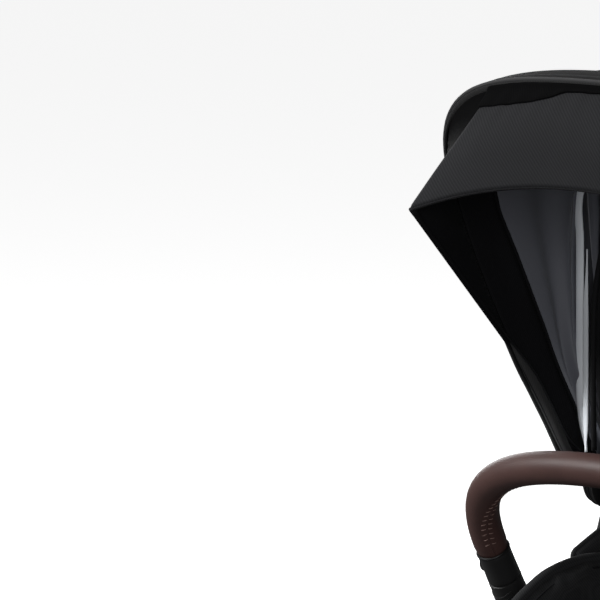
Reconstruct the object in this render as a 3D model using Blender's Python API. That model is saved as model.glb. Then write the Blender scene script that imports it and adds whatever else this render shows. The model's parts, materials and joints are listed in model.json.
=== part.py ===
"""Pushchair travel system: folding chassis, reclining seat, canopy with visor and a leather bumper bar.

Metres, +Z up, the front faces -Y and the ground is z = 0. Left is the child's left, +X.
Lengths along Y are written from the canopy hinge, which lies at y = 0 of the layout. The empty
named layout moves the whole model so that the origin is under the middle of its box.
"""

import math
from collections import namedtuple

import bmesh
import bpy
from mathutils import Matrix, Vector

# Clearance that two touching pieces keep.
GAP = 0.0003
# Running clearance of a pin in its bore, on the radius.
RUNNING = 0.0003
# How far shapes of one piece reach into each other before a Boolean joins them.
OVERLAP = 0.001

# Wheels.
REAR_WHEEL_RADIUS = 0.145
REAR_TYRE_WIDTH = 0.044
REAR_TYRE_DEPTH = 0.026
REAR_WHEEL_X = 0.292
REAR_AXLE_Y = 0.300
REAR_AXLE_PIN = 0.006
FRONT_WHEEL_RADIUS = 0.100
FRONT_TYRE_WIDTH = 0.038
FRONT_TYRE_DEPTH = 0.020
FRONT_AXLE_PIN = 0.004
WHEEL_SEGMENTS = 20
RIM_LIP = 0.007
RIM_WEB = 0.007
REAR_SPOKES = 6
FRONT_SPOKES = 5
HUB_RADIUS = 0.019
# A window between spokes, as a share of the half spacing and a share of the way out to the lip.
WINDOW_OUTLINE = ((0.41, 0.0), (0.63, 0.74), (0.47, 1.0), (-0.47, 1.0), (-0.63, 0.74), (-0.41, 0.0))

# Front swivel casters.
CASTER_X = 0.200
CASTER_Y = -0.340
CASTER_TRAIL = 0.030
FORK_CLEARANCE = 0.0035
FORK_CROWN = 0.009
FORK_ARM = 0.006
FORK_SIDE_CLEARANCE = 0.003
STEM_RADIUS = 0.008
HOUSING_RADIUS = 0.019
HOUSING_HEIGHT = 0.052
HOUSING_ROOF = 0.012

# Fold hubs: the chassis disc, the rear leg's knuckle and the handle's knuckle lie side by side.
FOLD_Y = 0.040
FOLD_Z = 0.500
FOLD_DISC_RADIUS = 0.042
FOLD_INNER_X = 0.2360
FOLD_DISC_WIDTH = 0.026
REAR_KNUCKLE_WIDTH = 0.0137
HANDLE_KNUCKLE_WIDTH = 0.0227

# Chassis tubes: half width along X and half depth.
LEG_HALF = (0.010, 0.017)
BOSS_EXTRA = 0.0025
LEG_ARCH = 0.030
LEG_TOE_IN = 2.5
HUB_BOSS_END = 0.15
HOUSING_BOSS_START = 0.90
CROSSBAR_SHARE = 0.74
CROSSBAR_RADIUS = 0.012
REAR_LEG_FOOT_X = 0.2460
AXLE_BLOCK_RADIUS = 0.022
AXLE_BLOCK_HALF = 0.0115
BEAM_HALF = (0.012, 0.015)

# Brake pedal behind the rear axle beam.
PEDAL_HALF_WIDTH = 0.045
PEDAL_REACH = 0.060
PEDAL_KNUCKLE = 0.009
PEDAL_THICKNESS = 0.008
PEDAL_CLEARANCE = 0.0007

# Handle, from the fold hub up and back.
HANDLE_BACK = 0.460
HANDLE_RISE = 0.530
HANDLE_TUBE_RADIUS = 0.0140
HANDLE_TUBE_WALL = 0.0025
HANDLE_TUBE_END = 0.420
HANDLE_BORE_START = 0.100
BOW_RADIUS = 0.0110
BOW_OVERLAP = 0.125
BOW_CORNER = 0.065
GRIP_WALL = 0.0045
GRIP_LEG = 0.045
BOW_HOUSING_HALF = 0.034
BOW_HOUSING_RADIUS = 0.0175
HANDLE_BUTTON_RADIUS = 0.0090
HANDLE_BUTTON_BODY = 0.0045
HANDLE_BUTTON_TRAVEL = 0.0030
BUTTON_PROUD = 0.0020
TRIGGER_START = 0.345
TRIGGER_LENGTH = 0.045
TRIGGER_WALL = 0.006
# The sliding tubes share one number of sides, so that their flats lie over each other.
TELESCOPE_SIDES = 12

# Seat hub, which carries the recline pivot and the bumper bar's sockets.
SEAT_HUB_Y = -0.055
SEAT_HUB_Z = 0.530
SEAT_HUB_RADIUS = 0.046
SEAT_HUB_INNER_X = 0.2033
SEAT_HUB_WIDTH = 0.0287
ADAPTER_WIDTH = 0.0230
ADAPTER_HALF = 0.026
RELEASE_RADIUS = 0.0110
RELEASE_DEPTH = 0.0060
RELEASE_DROP = 0.020

# Bumper bar: a bow in a plane that leans forward from its base points.
BAR_X = 0.206
BAR_Y = -0.095
BAR_Z = 0.551
BAR_PLANE = math.radians(60.1)
BAR_REACH = 0.215
BAR_STRAIGHT = 0.0990
BAR_SHOULDER = 0.0847
BAR_CROWN_HALF = 0.1438
BAR_RADIUS = 0.0157
BAR_CORE_RADIUS = 0.0105
BAR_JOINT = 0.0626
BAR_LEATHER_START = 0.0960
BAR_STEPS = 6
BAR_BUTTON_AT = 0.0780
BAR_BUTTON_RADIUS = 0.0068
BAR_BUTTON_DEPTH = 0.0045

# Seat base.
SEAT_TUBE_RADIUS = 0.010
SEAT_TUBE_REAR_Y = -0.058
SEAT_TUBE_REAR_Z = 0.4880
SEAT_FRONT_Y = -0.315
SEAT_FRONT_Z = 0.4800
SEAT_CORNER = 0.040
LINER_HALF_WIDTH = 0.160
LINER_WALL = 0.024
LINER_BOTTOM_Z = 0.4520
LINER_FLOOR = 0.026

# Leg rest.
LEG_REST_HALF = 0.150
LEG_REST_LENGTH = 0.165
LEG_REST_TUBE = 0.007
LEG_REST_CORNER = 0.025
LEG_REST_LEAN = math.radians(17)
LEG_REST_PAD_HALF = 0.0105

# Backrest: its tube runs from the seat hub through the canopy hinge.
CANOPY_Z = 0.680
BACK_TUBE_X = 0.175
BACK_TUBE_RADIUS = 0.011
BACK_LENGTH = 0.512
BACK_CORNER = 0.050
BACK_DISC_RADIUS = 0.026
BACK_PAD_HALF = 0.130
BACK_PAD_BACK = 0.012
BACK_PAD_FRONT = 0.025
BACK_PAD_BELOW = 0.030
WING_OUTER = BACK_TUBE_X - BACK_TUBE_RADIUS - GAP
WING_START = 0.118
WING_FRONT = 0.078
HEADREST_HALF = 0.100
HEADREST_FROM = 0.300
HEADREST_TO = 0.450
HEADREST_THICKNESS = 0.022
STRAP_HALF = 0.020
STRAP_THICKNESS = 0.008
STRAP_X = 0.050
STRAP_FROM = 0.090
STRAP_TO = 0.290
LEVER_AT = 0.470
LEVER_HALF = 0.032

# Harness buckle on its crotch strap.
BUCKLE_Y = -0.150
BUCKLE_Z = 0.560
BUCKLE_RADIUS = 0.021
BUCKLE_DEPTH = 0.014
BUCKLE_BUTTON_RADIUS = 0.010
CROTCH_HALF = 0.017
CROTCH_THICKNESS = 0.003
CROTCH_FOOT_Y = -0.185

# Canopy bows, as a half outline: half width at the hinge, full half width, the height where that
# is reached, and the fullness of the shoulder up and along.
CANOPY_FOOT_HALF = 0.196
CANOPY_HALF_WIDTH = 0.246
CANOPY_WAIST_HEIGHT = 0.140
CANOPY_SHOULDER_UP = 0.931
CANOPY_SHOULDER_ALONG = 0.744
FRONT_CROWN = 0.476
FRONT_LEAN = math.radians(32.0)
MID_LEAN = math.radians(5.0)
MID_CROWN = 0.412
MID_INSET = 0.009
REAR_BACK_CROWN = 0.3815
REAR_BACK_LEAN = math.radians(-19.0)
REAR_BACK_NARROWER = 0.003
PANEL_REAR_LEAN = math.radians(5.5)
PANEL_REAR_CROWN = 0.420
FABRIC = 0.0030
BOW_STRIP = (0.0045, 0.0014)
BOW_FREE_FROM = 0.070
BOW_CLEARANCE = 0.0016
REAR_INSET = MID_INSET + BOW_STRIP[1] + 3 * GAP
REAR_FRONT_CROWN = MID_CROWN - BOW_STRIP[1] - GAP
PANEL_FOOT = 0.055
REAR_PANEL_FOOT = 0.075

# Visor: its side wires turn on the canopy hinge. Each of its two edges is an arch, with the
# middle's radius and lean and what these change by at its ends.
VISOR_TOP_HALF = 0.136
VISOR_TOP_CROWN = 0.438
VISOR_TOP_DROP = 0.010
VISOR_TOP_LEAN = math.radians(34.0)
VISOR_EDGE_HALF = 0.190
VISOR_EDGE_CROWN = 0.4213
VISOR_EDGE_DROP = 0.0258
VISOR_EDGE_LEAN = math.radians(41.8)
VISOR_EDGE_TIP = math.radians(3.1)
VISOR_WIRE = (0.0016, 0.0040)
VISOR_WIRE_INSET = 0.008
VISOR_WIRE_END = 0.90

# Canopy hinge stack along X, from the backrest tube outwards.
HINGE_PIN = 0.0070
HINGE_RADIUS = 0.033
VISOR_KNUCKLE = 0.0032
MID_KNUCKLE = 0.0035
FRONT_KNUCKLE = 0.0050
HINGE_CAP = 0.0050

# Shopping basket.
BASKET_TOP_HALF = 0.186
BASKET_BOTTOM_HALF = 0.160
BASKET_BOTTOM_Z = 0.186
BASKET_TOP_Z = 0.300
BASKET_REAR_Y = 0.205
BASKET_FRONT_BOTTOM_Y = -0.170
BASKET_WALL = 0.004
HANGER_HALF = 0.012

Look = namedtuple("Look", "colour roughness metallic")
SATIN_BLACK = Look((0.012, 0.012, 0.013), 0.38, 0.6)
MOULDED = Look((0.013, 0.013, 0.014), 0.55, 0.0)
RUBBER = Look((0.016, 0.016, 0.016), 0.85, 0.0)
LEATHER = Look((0.075, 0.036, 0.030), 0.50, 0.0)
FABRIC_BLACK = Look((0.022, 0.022, 0.024), 0.90, 0.0)
WEBBING = Look((0.018, 0.018, 0.020), 0.80, 0.0)

SIDES = (("left", 1), ("right", -1))
Pivot = namedtuple("Pivot", "empty at")


def sided(sign, x, y, z):
    return Vector((sign * x, y, z))


def pivot(name, at, carrier=None):
    """An empty on a joint's axis. Everything that the joint moves is parented to it."""
    empty = bpy.data.objects.new(name, None)
    bpy.context.scene.collection.objects.link(empty)
    at = Vector(at)
    if carrier is None:
        empty.location = at
    else:
        empty.parent = carrier.empty
        empty.location = at - carrier.at
    return Pivot(empty, at)


def solid(name, bm, carrier, look):
    """Makes an object of a mesh given in the layout's coordinates, with its origin on the pivot."""
    bmesh.ops.recalc_face_normals(bm, faces=bm.faces)
    bmesh.ops.translate(bm, verts=bm.verts, vec=-carrier.at)
    mesh = bpy.data.meshes.new(name)
    bm.to_mesh(mesh)
    bm.free()
    mesh.shade_smooth()
    mesh.set_sharp_from_angle(angle=math.radians(32))
    item = bpy.data.objects.new(name, mesh)
    bpy.context.scene.collection.objects.link(item)
    item.parent = carrier.empty
    material = bpy.data.materials.new(name)
    material.use_nodes = True
    shader = material.node_tree.nodes["Principled BSDF"]
    shader.inputs["Base Color"].default_value = (*look.colour, 1.0)
    shader.inputs["Roughness"].default_value = look.roughness
    shader.inputs["Metallic"].default_value = look.metallic
    item.data.materials.append(material)
    return item


def helper(name, bm, carrier):
    """A cutter, or a shape that a Boolean joins to its piece."""
    item = solid(name, bm, carrier, MOULDED)
    item.hide_render = True
    item.display_type = "WIRE"
    return item


def boolean(item, other, operation):
    modifier = item.modifiers.new(other.name, "BOOLEAN")
    modifier.object = other
    modifier.operation = operation
    modifier.solver = "EXACT"


def joined(item, carrier, *shapes):
    for index, bm in enumerate(shapes):
        boolean(item, helper(f"{item.name}_add_{index}", bm, carrier), "UNION")
    return item


def cut(item, carrier, *shapes):
    for index, bm in enumerate(shapes):
        boolean(item, helper(f"{item.name}_cut_{index}", bm, carrier), "DIFFERENCE")
    return item


def turned(profile, at, axis, segments=20):
    """Turns a closed outline of (radius, along) points about an axis, a flat facing local +X."""
    bm = bmesh.new()
    half_step = math.pi / segments
    corner = 1 / math.cos(half_step)
    verts = [bm.verts.new((r * corner, 0.0, along)) for r, along in profile]
    edges = [bm.edges.new((verts[i - 1], verts[i])) for i in range(len(verts))]
    bmesh.ops.rotate(bm, verts=verts, cent=(0, 0, 0), matrix=Matrix.Rotation(half_step, 3, "Z"))
    bmesh.ops.spin(
        bm,
        geom=verts + edges,
        cent=(0, 0, 0),
        axis=(0, 0, 1),
        angle=2 * math.pi,
        steps=segments,
        use_merge=True,
    )
    bmesh.ops.remove_doubles(bm, verts=bm.verts, dist=1e-6)
    loose = [e for e in bm.edges if not e.link_faces]
    bmesh.ops.delete(bm, geom=loose, context="EDGES")
    turn = Vector((0, 0, 1)).rotation_difference(Vector(axis)).to_matrix().to_4x4()
    bmesh.ops.transform(bm, verts=bm.verts, matrix=Matrix.Translation(at) @ turn)
    return bm


def pin(at, axis, radius, length, segments=16, bore=0.0):
    """A round pin or ring that starts at a point and runs along an axis."""
    profile = [(bore, 0.0), (radius, 0.0), (radius, length), (bore, length)]
    return turned(profile, at, axis, segments)


def sweep(path, reference, halves, sides=12, bore=None, tangents=None):
    """Sweeps an oval along a path. Halves are the half sizes along the reference and across it,
    and a flat of the section faces the reference."""
    bm = bmesh.new()
    tangents = tangents or chord_tangents(path)
    if isinstance(halves[0], float):
        halves = [halves] * len(path)
    outer = rings_along(bm, path, tangents, reference, halves, sides)
    bridge(bm, outer)
    if bore is None:
        bm.faces.new(outer[0])
        bm.faces.new(outer[-1])
        return bm
    inner = rings_along(bm, path, tangents, reference, [(bore, bore)] * len(path), sides)
    bridge(bm, inner)
    bridge(bm, [outer[0], inner[0]])
    bridge(bm, [outer[-1], inner[-1]])
    return bm


def chord_tangents(path):
    last = len(path) - 1
    return [(path[min(i + 1, last)] - path[max(i - 1, 0)]).normalized() for i in range(last + 1)]


def rings_along(bm, path, tangents, reference, halves, sides):
    rings = []
    corner = 1 / math.cos(math.pi / sides)
    for i, centre in enumerate(path):
        tangent = tangents[i]
        side = Vector(reference)
        side = (side - side.dot(tangent) * tangent).normalized()
        across = tangent.cross(side)
        ring = []
        for k in range(sides):
            angle = 2 * math.pi * (k + 0.5) / sides
            offset = side * halves[i][0] * math.cos(angle) + across * halves[i][1] * math.sin(angle)
            ring.append(bm.verts.new(centre + offset * corner))
        rings.append(ring)
    return rings


def bridge(bm, rings):
    for first, second in zip(rings, rings[1:]):
        for k in range(len(first)):
            bm.faces.new((first[k - 1], first[k], second[k], second[k - 1]))


def loft(loops):
    """A closed solid through loops of points, with its first and last loop capped."""
    bm = bmesh.new()
    rings = [[bm.verts.new(point) for point in loop] for loop in loops]
    bridge(bm, rings)
    bm.faces.new(rings[0])
    bm.faces.new(rings[-1])
    return bm


def bezier(p0, p1, p2, p3, steps):
    """Points on a cubic curve, with both ends."""
    points = []
    for i in range(steps + 1):
        t = i / steps
        weights = ((1 - t) ** 3, 3 * t * (1 - t) ** 2, 3 * t * t * (1 - t), t**3)
        points.append(sum((w * p for w, p in zip(weights, (p0, p1, p2, p3))), Vector((0, 0, 0))))
    return points


def rounded(points, radius, steps=5):
    """A path through corner points, with each inner corner rounded."""
    path = [points[0]]
    for before, corner, after in zip(points, points[1:], points[2:]):
        back = (before - corner).normalized()
        ahead = (after - corner).normalized()
        reach = radius / math.tan(back.angle(ahead) / 2)
        start = corner + back * reach
        end = corner + ahead * reach
        path += bezier(start, start.lerp(corner, 0.56), end.lerp(corner, 0.56), end, steps)
    return path + [points[-1]]


def stretch(path, start, end):
    """The part of a path between two lengths along it."""
    result = []
    travelled = 0.0
    for a, b in zip(path, path[1:]):
        step = (b - a).length
        if travelled <= start < travelled + step:
            result.append(a.lerp(b, (start - travelled) / step))
        if start < travelled + step < end:
            result.append(b.copy())
        if travelled < end <= travelled + step:
            result.append(a.lerp(b, (end - travelled) / step))
        travelled += step
    return result


def path_length(path):
    return sum((b - a).length for a, b in zip(path, path[1:]))


# Chassis.


def fold_centre(sign, x):
    return sided(sign, x, FOLD_Y, FOLD_Z)


def fold_disc_x():
    """Where each layer of the fold hub starts, from the seat outwards, and where the last ends."""
    chassis = FOLD_INNER_X
    rear = chassis + FOLD_DISC_WIDTH + GAP
    handle = rear + REAR_KNUCKLE_WIDTH + GAP
    return chassis, rear, handle, handle + HANDLE_KNUCKLE_WIDTH


def caster_top_z():
    return 2 * FRONT_WHEEL_RADIUS + FORK_CLEARANCE + FORK_CROWN + GAP


def front_leg_point(sign, share):
    """A point on the front leg's middle line, from the fold hub (0) to the caster housing (1)."""
    start = fold_centre(sign, FOLD_INNER_X + FOLD_DISC_WIDTH / 2)
    end = sided(sign, CASTER_X, CASTER_Y, caster_top_z() + HOUSING_HEIGHT / 2)
    point = start.lerp(end, share)
    point.x = start.x + (end.x - start.x) * share**LEG_TOE_IN
    point.z += LEG_ARCH * 4 * share * (1 - share)
    return point


def front_leg(sign, start, end, steps, halves):
    """The tube or boss along one stretch of the front leg."""
    shares = [start + (end - start) * i / steps for i in range(steps + 1)]
    path = [front_leg_point(sign, s) for s in shares]
    nudge = 0.001
    tangents = []
    for s in shares:
        ahead = front_leg_point(sign, s + nudge) - front_leg_point(sign, s - nudge)
        tangents.append(ahead.normalized())
    return sweep(path, (sign, 0, 0), halves, 12, None, tangents)


def chassis_front(root):
    boss = (LEG_HALF[0] + BOSS_EXTRA, LEG_HALF[1] + BOSS_EXTRA)
    gap_share = GAP / (front_leg_point(1, 0) - front_leg_point(1, 1)).length
    for name, sign in SIDES:
        axis = (sign, 0, 0)
        disc = [
            (0.0, 0.0),
            (FOLD_DISC_RADIUS - 0.004, 0.0),
            (FOLD_DISC_RADIUS, 0.004),
            (FOLD_DISC_RADIUS, FOLD_DISC_WIDTH),
            (0.0, FOLD_DISC_WIDTH),
        ]
        disc_shape = turned(disc, fold_centre(sign, FOLD_INNER_X), axis, 20)
        hub = solid(f"fold_hub_{name}", disc_shape, root, MOULDED)
        joined(hub, root, front_leg(sign, 0.03, HUB_BOSS_END, 2, boss))
        leg = front_leg(sign, HUB_BOSS_END + gap_share, HOUSING_BOSS_START - gap_share, 5, LEG_HALF)
        solid(f"front_leg_{name}", leg, root, SATIN_BLACK)
        caster_housing(root, name, sign, boss)
    crossbar_at = front_leg_point(1, CROSSBAR_SHARE)
    leg_length = (front_leg_point(1, 0) - front_leg_point(1, 1)).length
    inner_share = CROSSBAR_SHARE + CROSSBAR_RADIUS / leg_length
    reach = front_leg_point(1, inner_share).x - LEG_HALF[0] - GAP
    crossbar = [Vector((x, crossbar_at.y, crossbar_at.z)) for x in (-reach, reach)]
    bar = sweep(crossbar, (0, 1, 0), (CROSSBAR_RADIUS, CROSSBAR_RADIUS), 12)
    solid("front_crossbar", bar, root, SATIN_BLACK)


def caster_housing(root, name, sign, boss):
    """The socket that the swivel stem turns in, closed at the top."""
    base = sided(sign, CASTER_X, CASTER_Y, caster_top_z())
    bore = STEM_RADIUS + RUNNING
    roof = HOUSING_HEIGHT - HOUSING_ROOF
    profile = [
        (bore, 0.0),
        (HOUSING_RADIUS, 0.0),
        (HOUSING_RADIUS, roof),
        (HOUSING_RADIUS * 0.7, HOUSING_HEIGHT),
        (0.0, HOUSING_HEIGHT),
        (0.0, roof),
        (bore, roof),
    ]
    housing = solid(f"caster_housing_{name}", turned(profile, base, (0, 0, 1), 16), root, MOULDED)
    joined(housing, root, front_leg(sign, HOUSING_BOSS_START, 0.965, 1, boss))


def basket(root):
    """An open tub that hooks on the front crossbar and hangs from the fold hubs."""
    hook = front_leg_point(1, CROSSBAR_SHARE)
    front_top_y = hook.y + CROSSBAR_RADIUS + GAP
    top_z = hook.z

    def corners(front_y, rear_y, front_half, rear_half, front_z, rear_z, inset):
        front = front_y + inset
        rear = rear_y - inset
        near = front_half - inset
        far = rear_half - inset
        return [
            Vector((-near, front, front_z)),
            Vector((near, front, front_z)),
            Vector((far, rear, rear_z)),
            Vector((-far, rear, rear_z)),
        ]

    top = (front_top_y, BASKET_REAR_Y, BASKET_TOP_HALF, BASKET_TOP_HALF, top_z, BASKET_TOP_Z)
    low = (
        BASKET_FRONT_BOTTOM_Y,
        BASKET_REAR_Y,
        BASKET_BOTTOM_HALF,
        BASKET_BOTTOM_HALF,
        BASKET_BOTTOM_Z,
        BASKET_BOTTOM_Z,
    )
    floor = low[:4] + (BASKET_BOTTOM_Z + BASKET_WALL, BASKET_BOTTOM_Z + BASKET_WALL)
    loops = [corners(*low, 0.0), corners(*top, 0.0), corners(*top, BASKET_WALL), corners(*floor, BASKET_WALL)]
    tub = solid("basket", loft(loops), root, FABRIC_BLACK)
    straps = []
    for _, sign in SIDES:
        foot = sided(sign, BASKET_TOP_HALF - BASKET_WALL * 1.2, FOLD_Y, BASKET_TOP_Z - 0.012)
        knee = sided(sign, BASKET_TOP_HALF - BASKET_WALL * 0.5, FOLD_Y, BASKET_TOP_Z + 0.010)
        hub_low = FOLD_Z - FOLD_DISC_RADIUS - 2 * GAP
        head = sided(sign, FOLD_INNER_X + 0.005, FOLD_Y, hub_low)
        straps.append(sweep([foot, knee, head], (0, 1, 0), (HANGER_HALF, 0.0015), 4))
    joined(tub, root, *straps)


def rear_legs(root):
    _, rear_x, _, _ = fold_disc_x()
    fold = pivot("rear_leg_fold", (0, FOLD_Y, FOLD_Z), root)
    for name, sign in SIDES:
        axis = (sign, 0, 0)
        middle = rear_x + REAR_KNUCKLE_WIDTH / 2
        start = fold_centre(sign, middle)
        foot = sided(sign, REAR_LEG_FOOT_X, REAR_AXLE_Y, REAR_WHEEL_RADIUS)
        knuckle = pin(fold_centre(sign, rear_x), axis, FOLD_DISC_RADIUS, REAR_KNUCKLE_WIDTH, 20)
        leg = solid(f"rear_leg_{name}", knuckle, fold, SATIN_BLACK)
        narrow = REAR_KNUCKLE_WIDTH / 2 - 0.0006
        free_from = (FOLD_DISC_RADIUS + 0.006) / (foot - start).length
        path = []
        widths = []
        for share in (0.02, free_from, free_from + 0.06, 0.55, 0.985):
            point = start.lerp(foot, share)
            bend = max(0.0, (share - free_from) / (1 - free_from))
            point.x = start.x + (foot.x - start.x) * bend
            path.append(point)
            widths.append(narrow if share <= free_from else LEG_HALF[0])
        tube = sweep(path, axis, [(w, LEG_HALF[1]) for w in widths], 12)
        block_start = sided(sign, REAR_LEG_FOOT_X - AXLE_BLOCK_HALF, REAR_AXLE_Y, REAR_WHEEL_RADIUS)
        block = pin(block_start, axis, AXLE_BLOCK_RADIUS, 2 * AXLE_BLOCK_HALF, 14)
        stub_length = REAR_WHEEL_X + REAR_TYRE_WIDTH / 2 - 0.004 - REAR_LEG_FOOT_X
        stub = pin(foot, axis, REAR_AXLE_PIN, stub_length, WHEEL_SEGMENTS)
        joined(leg, fold, tube, block, stub)
    reach = REAR_LEG_FOOT_X - AXLE_BLOCK_HALF - GAP
    beam_path = [Vector((x, REAR_AXLE_Y, REAR_WHEEL_RADIUS)) for x in (-reach, reach)]
    solid("rear_axle_beam", sweep(beam_path, (0, 1, 0), BEAM_HALF, 12), fold, SATIN_BLACK)
    brake_pedal(fold)
    for name, sign in SIDES:
        centre = sided(sign, REAR_WHEEL_X, REAR_AXLE_Y, REAR_WHEEL_RADIUS)
        inner = REAR_LEG_FOOT_X + AXLE_BLOCK_HALF + GAP
        outer = REAR_WHEEL_X + REAR_TYRE_WIDTH / 2 + 0.002
        wheel(
            f"rear_{{}}_{name}",
            fold,
            centre,
            sign,
            REAR_WHEEL_RADIUS,
            REAR_TYRE_WIDTH,
            REAR_TYRE_DEPTH,
            (inner - REAR_WHEEL_X, outer - REAR_WHEEL_X),
            REAR_AXLE_PIN + RUNNING,
            REAR_SPOKES,
            True,
        )


def brake_pedal(fold):
    axis_y = REAR_AXLE_Y + BEAM_HALF[0] + PEDAL_CLEARANCE + PEDAL_KNUCKLE
    hinge = pivot("brake_pivot", (0, axis_y, REAR_WHEEL_RADIUS), fold)
    knuckle_at = Vector((-PEDAL_HALF_WIDTH, axis_y, REAR_WHEEL_RADIUS))
    knuckle = pin(knuckle_at, (1, 0, 0), PEDAL_KNUCKLE, 2 * PEDAL_HALF_WIDTH, 12)
    pedal = solid("brake_pedal", knuckle, hinge, MOULDED)
    loops = []
    for along, half in ((0.002, 0.038), (0.40, 0.040), (0.85, 0.045), (1.0, 0.038)):
        y = axis_y + along * PEDAL_REACH
        z = REAR_WHEEL_RADIUS + 0.012 * along * along
        low = z - PEDAL_THICKNESS / 2
        high = z + PEDAL_THICKNESS / 2
        corners = ((-half, low), (half, low), (half, high), (-half, high))
        loops.append([Vector((x, y, corner_z)) for x, corner_z in corners])
    joined(pedal, hinge, loft(loops))


def wheel(pattern, carrier, centre, sign, radius, width, depth, hub, bore, spokes, capped):
    """A tyre and a spoked rim. The pattern gets the word tyre or rim."""
    spin = pivot(pattern.format("spin"), centre, carrier)
    axis = (sign, 0, 0)
    seat = radius - depth
    half = width / 2
    tread = [
        (seat, -half * 0.72),
        (radius - depth * 0.40, -half),
        (radius, -half * 0.58),
        (radius, half * 0.58),
        (radius - depth * 0.40, half),
        (seat, half * 0.72),
    ]
    solid(pattern.format("tyre"), turned(tread, centre, axis, WHEEL_SEGMENTS), spin, RUBBER)
    rim_outer = seat - GAP
    rim_half = half * 0.70
    web = RIM_WEB / 2
    hub_in, hub_out = hub
    outline = [
        (bore, hub_in),
        (HUB_RADIUS, hub_in),
        (HUB_RADIUS + 0.004, -web),
        (rim_outer - RIM_LIP, -web),
        (rim_outer - RIM_LIP, -rim_half),
        (rim_outer, -rim_half),
        (rim_outer, rim_half),
        (rim_outer - RIM_LIP, rim_half),
        (rim_outer - RIM_LIP, web),
        (HUB_RADIUS + 0.004, web),
        (HUB_RADIUS, hub_out),
    ]
    if capped:
        outline += [(0.0, hub_out), (0.0, hub_out - 0.004), (bore, hub_out - 0.004)]
    else:
        outline += [(bore, hub_out)]
    rim = solid(pattern.format("rim"), turned(outline, centre, axis, WHEEL_SEGMENTS), spin, MOULDED)
    windows = []
    inner = HUB_RADIUS + 0.012
    outer = rim_outer - RIM_LIP - 0.006
    for k in range(spokes):
        middle = 2 * math.pi * (k + 0.5) / spokes
        spread = math.pi / spokes
        points = []
        for share, r in WINDOW_OUTLINE:
            angle = middle + spread * share
            distance = inner + (outer - inner) * r
            points.append((distance * math.cos(angle), distance * math.sin(angle)))
        loops = [[centre + Vector((x, py, pz)) for py, pz in points] for x in (-0.02, 0.02)]
        windows.append(loft(loops))
    cut(rim, spin, *windows)
    return spin


def casters(root):
    for name, sign in SIDES:
        top = sided(sign, CASTER_X, CASTER_Y, caster_top_z() - GAP)
        swivel = pivot(f"caster_swivel_{name}", top, root)
        crown_low = 2 * FRONT_WHEEL_RADIUS + FORK_CLEARANCE
        axle = sided(sign, CASTER_X, CASTER_Y + CASTER_TRAIL, FRONT_WHEEL_RADIUS)
        arm_x = FRONT_TYRE_WIDTH / 2 + FORK_SIDE_CLEARANCE + FORK_ARM / 2
        stem = pin(top - Vector((0, 0, 0.004)), (0, 0, 1), STEM_RADIUS, HOUSING_HEIGHT - HOUSING_ROOF, 12)
        fork = solid(f"caster_fork_{name}", stem, swivel, MOULDED)
        outer = arm_x + FORK_ARM / 2
        crown = loft(
            [
                [
                    Vector((sign * CASTER_X + x, CASTER_Y + y, z))
                    for x, y in (
                        (-outer, -0.012),
                        (-0.012, -0.019),
                        (0.012, -0.019),
                        (outer, -0.012),
                        (outer, 0.024),
                        (-outer, 0.024),
                    )
                ]
                for z in (crown_low, crown_low + FORK_CROWN)
            ]
        )
        parts = [crown]
        for side in (-1, 1):
            offset = Vector((side * arm_x, 0, 0))
            head = Vector((sign * CASTER_X, CASTER_Y + 0.006, crown_low + FORK_CROWN * 0.5))
            foot = axle + Vector((0, 0.0, -0.010))
            path = [(head + offset).lerp(foot + offset, s) for s in (0.0, 0.35, 0.7, 1.0)]
            halves = [(FORK_ARM / 2, h) for h in (0.017, 0.014, 0.011, 0.010)]
            parts.append(sweep(path, (1, 0, 0), halves, 8))
        pin_start = axle - Vector((outer + OVERLAP, 0, 0))
        parts.append(pin(pin_start, (1, 0, 0), FRONT_AXLE_PIN, 2 * (outer + OVERLAP), WHEEL_SEGMENTS))
        joined(fork, swivel, *parts)
        hub_half = arm_x - FORK_ARM / 2 - GAP
        wheel(
            f"front_{{}}_{name}",
            swivel,
            axle,
            sign,
            FRONT_WHEEL_RADIUS,
            FRONT_TYRE_WIDTH,
            FRONT_TYRE_DEPTH,
            (-hub_half, hub_half),
            FRONT_AXLE_PIN + RUNNING,
            FRONT_SPOKES,
            False,
        )


# Handle.


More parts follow.
